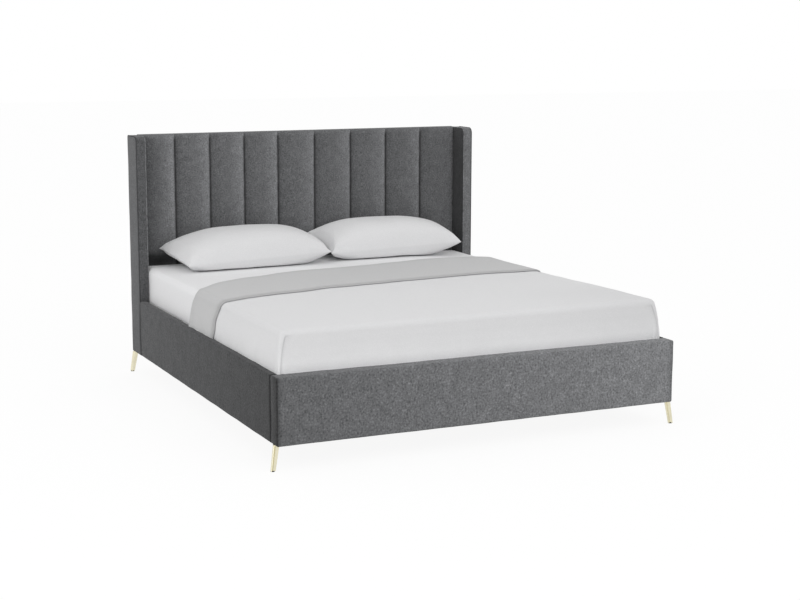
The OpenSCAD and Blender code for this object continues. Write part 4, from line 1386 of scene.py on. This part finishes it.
        # Painted shade along the crease of the tucked corner, darkest near its top, with a faint tail on the
        # foot side.
        dark = (0.17 + 0.08 * np.exp(-(((over_end - 0.05) / 0.022) ** 2))) * np.exp(-((crease / 0.0055) ** 2))
        dark += 0.055 * rise(crease / 0.004) * (1 - rise((crease - 0.012) / 0.035))
        shares = shares * (1 - dark * rise((over_end - 0.03) / 0.01))
        tint(piece, shares * self.painted_light_shares(grid_across, grid_along, side, end))
        for finish in (FINISHES["coverlet_cotton"], BAND):
            piece.data.materials.append(material(finish))
        thicken(piece, self.cloth, lining=1)
        shade(piece, 80)
        dress(piece, FINISHES["coverlet_cotton"], "mattress", ["coverlet"])
        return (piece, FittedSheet.area(piece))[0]

    @staticmethod
    def unevenness(across: np.ndarray, along: np.ndarray, side: np.ndarray, end: np.ndarray) -> np.ndarray:
        """How the cloth rises and falls: soft waves, and drag lines towards the tucks.

        Args:
            across: the points' places across the bed.
            along: their places along it.
            side: how far they have run over the side.
            end: how far they have run over the foot.

        Returns:
            The height off the form at each point.
        """
        flat = np.stack([across, along, np.zeros(across.shape)], 1)
        height = 0.0012 * ripples(flat, 0.55, 41) + 0.0006 * ripples(flat, 0.2, 42)
        drag = flat.copy()
        drag[:, 0] *= np.where(side > end, 0.25, 1)
        drag[:, 1] *= np.where(side > end, 1, 0.25)
        return height + 0.0014 * ripples(drag, 0.09, 43) * rise((np.maximum(side, end) - 0.06) / 0.12)

    def painted_light_shares(
        self, across: np.ndarray, along: np.ndarray, side: np.ndarray, end: np.ndarray
    ) -> np.ndarray:
        """The painted light and shade on the cotton: darker on the lit rounded edges, so that they hardly
        show, lighter low on the foot face, where it lies in shade, and a little darker towards the right of
        the foot.

        Args:
            across: the points' places across the bed.
            along: their places along it.
            side: how far they lie past the flat top's side.
            end: how far they lie past its foot end.

        Returns:
            The tint's share at each point.
        """
        foot, flank = np.interp(end, *zip(*self.foot_tint)), np.interp(side, *zip(*self.flank_tint))
        right = 1 - 0.06 * rise((across - 0.2) / 0.7) * rise((-0.35 - along) / 0.4)
        return np.where(end > side, foot, flank) * right

    @staticmethod
    def fold_reach(side: np.ndarray, end: np.ndarray) -> np.ndarray:
        """How much of the fold over the tucked corner there is at points that far over side and foot."""
        return rise((np.maximum(side, end) - 0.03) / 0.03) * rise((end - side + 0.10) / 0.10) * (end > 0)


@dataclass
class Pillow:
    """A filled pillow in its white case, lying on the sheet and leaning on the channels."""

    side: Side
    corners: tuple[Place, Place, Place, Place]
    top: float
    low: float = 0.090
    half: tuple[float, float] = (0.4, 0.19)
    draw: tuple[float, float] = (0.05, 0.07)
    ends: float = 0.5
    fullness: float = 2.6
    # Painted light: the share by which the whole case is painted lighter or darker.
    light: float = 1.0
    columns: int = 72
    rows: int = 48
    swell: float = 0.007
    frames: int = 15
    gathers: float = 0.0007
    drags: float = 0.0022
    dents: float = 0.0016
    bed_top: float = 0.5567
    wall_gap: float = 0.0025
    case_gap: float = 0.016
    floor_turn: float = 0.005
    wall_turn: float = 0.012

    def panel(self, up: float, inset: float = 0.0) -> np.ndarray:
        """One panel of the pillow.

        Args:
            up: 1 for the upper panel, -1 for the lower one.
            inset: how far it lies inside the case.

        Returns:
            The points, row by row.
        """
        u = -np.cos(math.pi * np.arange(self.columns + 1) / self.columns)
        v = -np.cos(math.pi * np.arange(self.rows + 1) / self.rows)
        v, u = np.meshgrid(v, u, indexing="ij")
        a = (1 + u * (1 - self.draw[0] * (1 - v * v)) * (1 - inset / self.half[0])) / 2
        b = (1 + v * (1 - self.draw[1] * (1 - u * u)) * (1 - inset / self.half[1])) / 2
        front_left, front_right, rear_right, rear_left = (np.array(c) for c in self.corners)
        points = (
            ((1 - a) * (1 - b))[..., None] * front_left
            + (a * (1 - b))[..., None] * front_right
            + (a * b)[..., None] * rear_right
            + ((1 - a) * b)[..., None] * rear_left
        )
        high, ends, sides = (self.top, self.ends, 0.5) if up > 0 else (self.low, 0.75, 0.3)
        bulge = (1 - np.abs(u) ** self.fullness) ** ends * (1 - np.abs(v) ** self.fullness) ** sides
        points[..., 2] += up * (high - inset) * bulge
        return points.reshape(-1, 3)

    def settle(self, points: np.ndarray, inset: float = 0.0) -> np.ndarray:
        """Rests the points on the sheet and against the channels."""
        floor = self.bed_top + inset - sunk(points[:, 0], points[:, 1])
        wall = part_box("channel_cover")[0].y - self.wall_gap - inset
        settled = points.copy()
        settled[:, 2] = floor + rounded(points[:, 2] - floor, self.floor_turn)
        settled[:, 1] = wall - rounded(wall - points[:, 1], self.wall_turn)
        return settled

    def closed(self, name: str, inset: float = 0.0) -> bpy.types.Object:
        """Both panels joined along the seam."""
        upper, lower = self.panel(1, inset), self.panel(-1, inset)
        faces = grid_faces(self.rows + 1, self.columns + 1)
        faces += [f[::-1] for f in grid_faces(self.rows + 1, self.columns + 1, len(upper))]
        piece = mesh_piece(name, self.settle(np.concatenate([upper, lower]), inset), faces)
        pick(piece)
        bpy.ops.object.mode_set(mode="EDIT")
        bpy.ops.mesh.select_all(action="SELECT")
        bpy.ops.mesh.remove_doubles(threshold=0.00002)
        bpy.ops.object.mode_set(mode="OBJECT")
        return piece

    def inflate(self, piece: bpy.types.Object) -> None:
        """Lets the cloth settle under the filling's pressure, and keeps the moves small."""
        before = points_of(piece)
        cloth = piece.modifiers.new("cloth", "CLOTH")
        cloth.settings.quality = 5
        cloth.settings.mass = 0.25
        cloth.settings.tension_stiffness = 12
        cloth.settings.compression_stiffness = 12
        cloth.settings.bending_stiffness = 0.2
        cloth.settings.use_pressure = True
        cloth.settings.uniform_pressure_force = 3.0
        cloth.settings.effector_weights.gravity = 0
        scene = bpy.context.scene
        for number in range(1, self.frames + 1):
            scene.frame_set(number)
        apply_modifiers(piece)
        scene.frame_set(1)
        move = points_of(piece) - before
        size = np.linalg.norm(move, axis=1, keepdims=True)
        move *= np.minimum(1, self.swell / np.maximum(size, 1e-9))
        put_points(piece, self.settle(before + move))

    def edge_line(self) -> np.ndarray:
        """The seam's points in order round the pillow."""
        points = self.settle(self.panel(1)).reshape(self.rows + 1, self.columns + 1, 3)
        return np.concatenate([points[0, :-1], points[:-1, -1], points[-1, :0:-1], points[:0:-1, 0]])

    def pucker(self, piece: bpy.types.Object) -> None:
        """Gathers the cloth in small folds along the seam and pulls creases out of the corners."""
        points, out = points_of(piece), points_of(piece, "normal")
        seam = self.edge_line()
        way = points[:, None, :] - seam[None, :, :]
        gap = np.sqrt((way**2).sum(2))
        near, place = gap.min(1), gap.argmin(1)
        fine = np.sin(place * 0.9 + 1.7 * np.sin(place * 0.13)) * np.exp(-near / 0.022) * rise(near / 0.006)
        tips = np.min([np.linalg.norm(points - np.array(c), axis=1) for c in self.corners], axis=0)
        drag = ripples(points * np.array([0.5, 0.5, 1.4]), 0.06, 60 + self.side.value) * np.exp(-tips / 0.11)
        soft = ripples(points, 0.22, 50 + self.side.value)
        lift = self.gathers * fine + self.drags * drag * rise(near / 0.02) + self.dents * soft
        put_points(piece, self.settle(points + out * lift[:, None]))

    def build(self) -> None:
        """Makes the case, the filling inside it and the seam's stitched edge."""
        body = f"pillow_{self.side.word}"
        case = self.closed(f"{body}_case")
        self.inflate(case)
        self.pucker(case)
        smooth = case.modifiers.new("even", "SUBSURF")
        smooth.levels = smooth.render_levels = 1
        apply_modifiers(case)
        shade(case)
        points, (left, right) = points_of(case), self.corners[:2]
        # Painted shade: the lower panel, below the seam, is darkened, and the whole case is painted lighter
        # or darker by its light share.
        seam = np.interp(points[:, 0], (left[0], right[0]), (left[2], right[2])) + 0.006
        tint(case, self.light - 0.07 * rise((seam - points[:, 2]) / 0.014))
        dress(case, PILLOW_COTTON, body, [f"pillowcase_{self.side.word}"])
        filling = self.closed(f"{body}_filling", self.case_gap)
        shade(filling)
        dress(filling, FINISHES["filling"], body, [body])


PILLOWS = (
    Pillow(
        Side.LEFT,
        ((-0.770, 0.620, 0.588), (0.001, 0.619, 0.620), (-0.022, 0.985, 0.650), (-0.811, 0.990, 0.637)),
        0.118,
        draw=(0.02, 0.07),
        ends=0.56,
    ),
    Pillow(
        Side.RIGHT,
        ((0.012, 0.675, 0.600), (0.788, 0.700, 0.618), (0.793, 0.988, 0.638), (-0.010, 0.988, 0.669)),
        0.114,
        ends=0.56,
        # The right pillow's case is painted a little lighter.
        light=1.02,
    ),
)


@dataclass(frozen=True)
class Lamp:
    """A soft square lamp that faces the bed; its power is in watts."""

    name: str
    place: Place
    size: float
    power: float
    aim: Place = (0.0, 0.0, 0.5)

    def build(self) -> None:
        """Puts the lamp up."""
        data = bpy.data.lights.new(self.name, "AREA")
        data.size = self.size
        data.energy = self.power
        lamp = add(self.name, data)
        lamp.location = self.place
        lamp.rotation_euler = (Vector(self.aim) - Vector(self.place)).to_track_quat("-Z", "Y").to_euler()


LAMPS = (Lamp("key", (1.5, -6.0, 4.7), 3.0, 52), Lamp("fill", (-6.0, -3.5, 2.4), 4.0, 72))


@dataclass
class Studio:
    """The camera, the lamps, the floor and the white surroundings."""

    place: Place = (-3.0862, -6.7907, 1.7581)
    yaw: float = 0.437381
    pitch: float = 0.171415
    roll: float = 0.002773
    focal_px: float = 1582.8
    frame_px: float = 800.0
    sensor: float = 36.0
    reach: float = 60.0
    world: float = 0.762
    floor_show: float = 0.88
    floor_light: float = 1.04

    def camera(self) -> None:
        """Sets the camera where the photograph was taken from."""
        data = bpy.data.cameras.new("camera")
        data.sensor_width = self.sensor
        data.lens = self.sensor * self.focal_px / self.frame_px
        data.clip_end = self.reach
        eye = add("camera", data)
        level = math.cos(self.pitch)
        ahead = Vector((math.sin(self.yaw) * level, math.cos(self.yaw) * level, -math.sin(self.pitch)))
        right = Vector((math.cos(self.yaw), -math.sin(self.yaw), 0))
        up = right.cross(ahead)
        right, up = (
            right * math.cos(self.roll) + up * math.sin(self.roll),
            up * math.cos(self.roll) - right * math.sin(self.roll),
        )
        turn = Matrix((right, up, -ahead)).transposed()
        eye.matrix_world = Matrix.Translation(self.place) @ turn.to_4x4()
        bpy.context.scene.camera = eye

    @staticmethod
    def shown(tree: bpy.types.NodeTree, kinds: tuple[str, str, str], share: float) -> list[bpy.types.Node]:
        """Joins a shader that lights the bed with one that the camera sees, directly or in metal.

        Args:
            tree: the nodes of the surroundings or the floor.
            kinds: the types of the two shaders and of the output.
            share: how much of the second shader the camera sees.

        Returns:
            The two shaders.
        """
        tree.nodes.clear()
        names = ("ShaderNodeLightPath", "ShaderNodeMath", "ShaderNodeMath", "ShaderNodeMixShader", *kinds)
        ray, seen, part, mix, light, show, end = (tree.nodes.new(name) for name in names)
        seen.operation, part.operation = "MAXIMUM", "MULTIPLY"
        part.inputs[1].default_value = share
        for source, target in (
            (ray.outputs["Is Camera Ray"], seen.inputs[0]),
            (ray.outputs["Is Glossy Ray"], seen.inputs[1]),
            (seen.outputs[0], part.inputs[0]),
            (part.outputs[0], mix.inputs[0]),
            (light.outputs[0], mix.inputs[1]),
            (show.outputs[0], mix.inputs[2]),
            (mix.outputs[0], end.inputs[0]),
        ):
            tree.links.new(source, target)
        return [light, show]

    def surroundings(self) -> None:
        """Lights the room evenly, and shows it white to the camera and in metal."""
        world = bpy.data.worlds.new("room")
        bpy.context.scene.world = world
        world.use_nodes = True
        kinds = ("ShaderNodeBackground", "ShaderNodeBackground", "ShaderNodeOutputWorld")
        for shader, strength in zip(self.shown(world.node_tree, kinds, 1.0), (self.world, 1.0)):
            shader.inputs[0].default_value = (1, 1, 1, 1)
            shader.inputs[1].default_value = strength

    def floor(self) -> None:
        """Lays a plain pale floor that shows white and keeps a faint shadow."""
        deselect()
        bpy.ops.mesh.primitive_plane_add(size=self.reach, location=(0, 0, 0))
        floor = bpy.context.object
        floor.name = "floor"
        made = bpy.data.materials.new("floor")
        made.use_nodes = True
        kinds = ("ShaderNodeBsdfDiffuse", "ShaderNodeEmission", "ShaderNodeOutputMaterial")
        plain, white = self.shown(made.node_tree, kinds, self.floor_show)
        plain.inputs[0].default_value = (0.8, 0.8, 0.8, 1)
        white.inputs[0].default_value = (1, 1, 1, 1)
        white.inputs[1].default_value = self.floor_light
        floor.data.materials.append(made)

    def build(self) -> None:
        """Sets up the camera, lamps, floor and surroundings."""
        self.camera()
        self.surroundings()
        self.floor()
        for lamp in LAMPS:
            lamp.build()


def dress_nodes() -> None:
    """Gives every node that stays its finish."""
    for part in frame["record"]["subparts"]:
        node = frame["nodes"][part["node"]]
        node.data.materials.clear()
        node.data.materials.append(material(FINISHES[part["material_slot"]]))


def main() -> None:
    """Builds the bed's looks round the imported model."""
    logging.basicConfig(level=logging.INFO, format="%(name)s: %(message)s")
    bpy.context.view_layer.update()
    bpy.context.scene.view_settings.view_transform = "Standard"
    Studio().build()
    dress_nodes()
    Headboard().build()
    Upholstery().build()
    Mattress().build()
    FittedSheet().build()
    Coverlet().build()
    for pillow in PILLOWS:
        pillow.build()


if __name__ == "__main__":
    main()
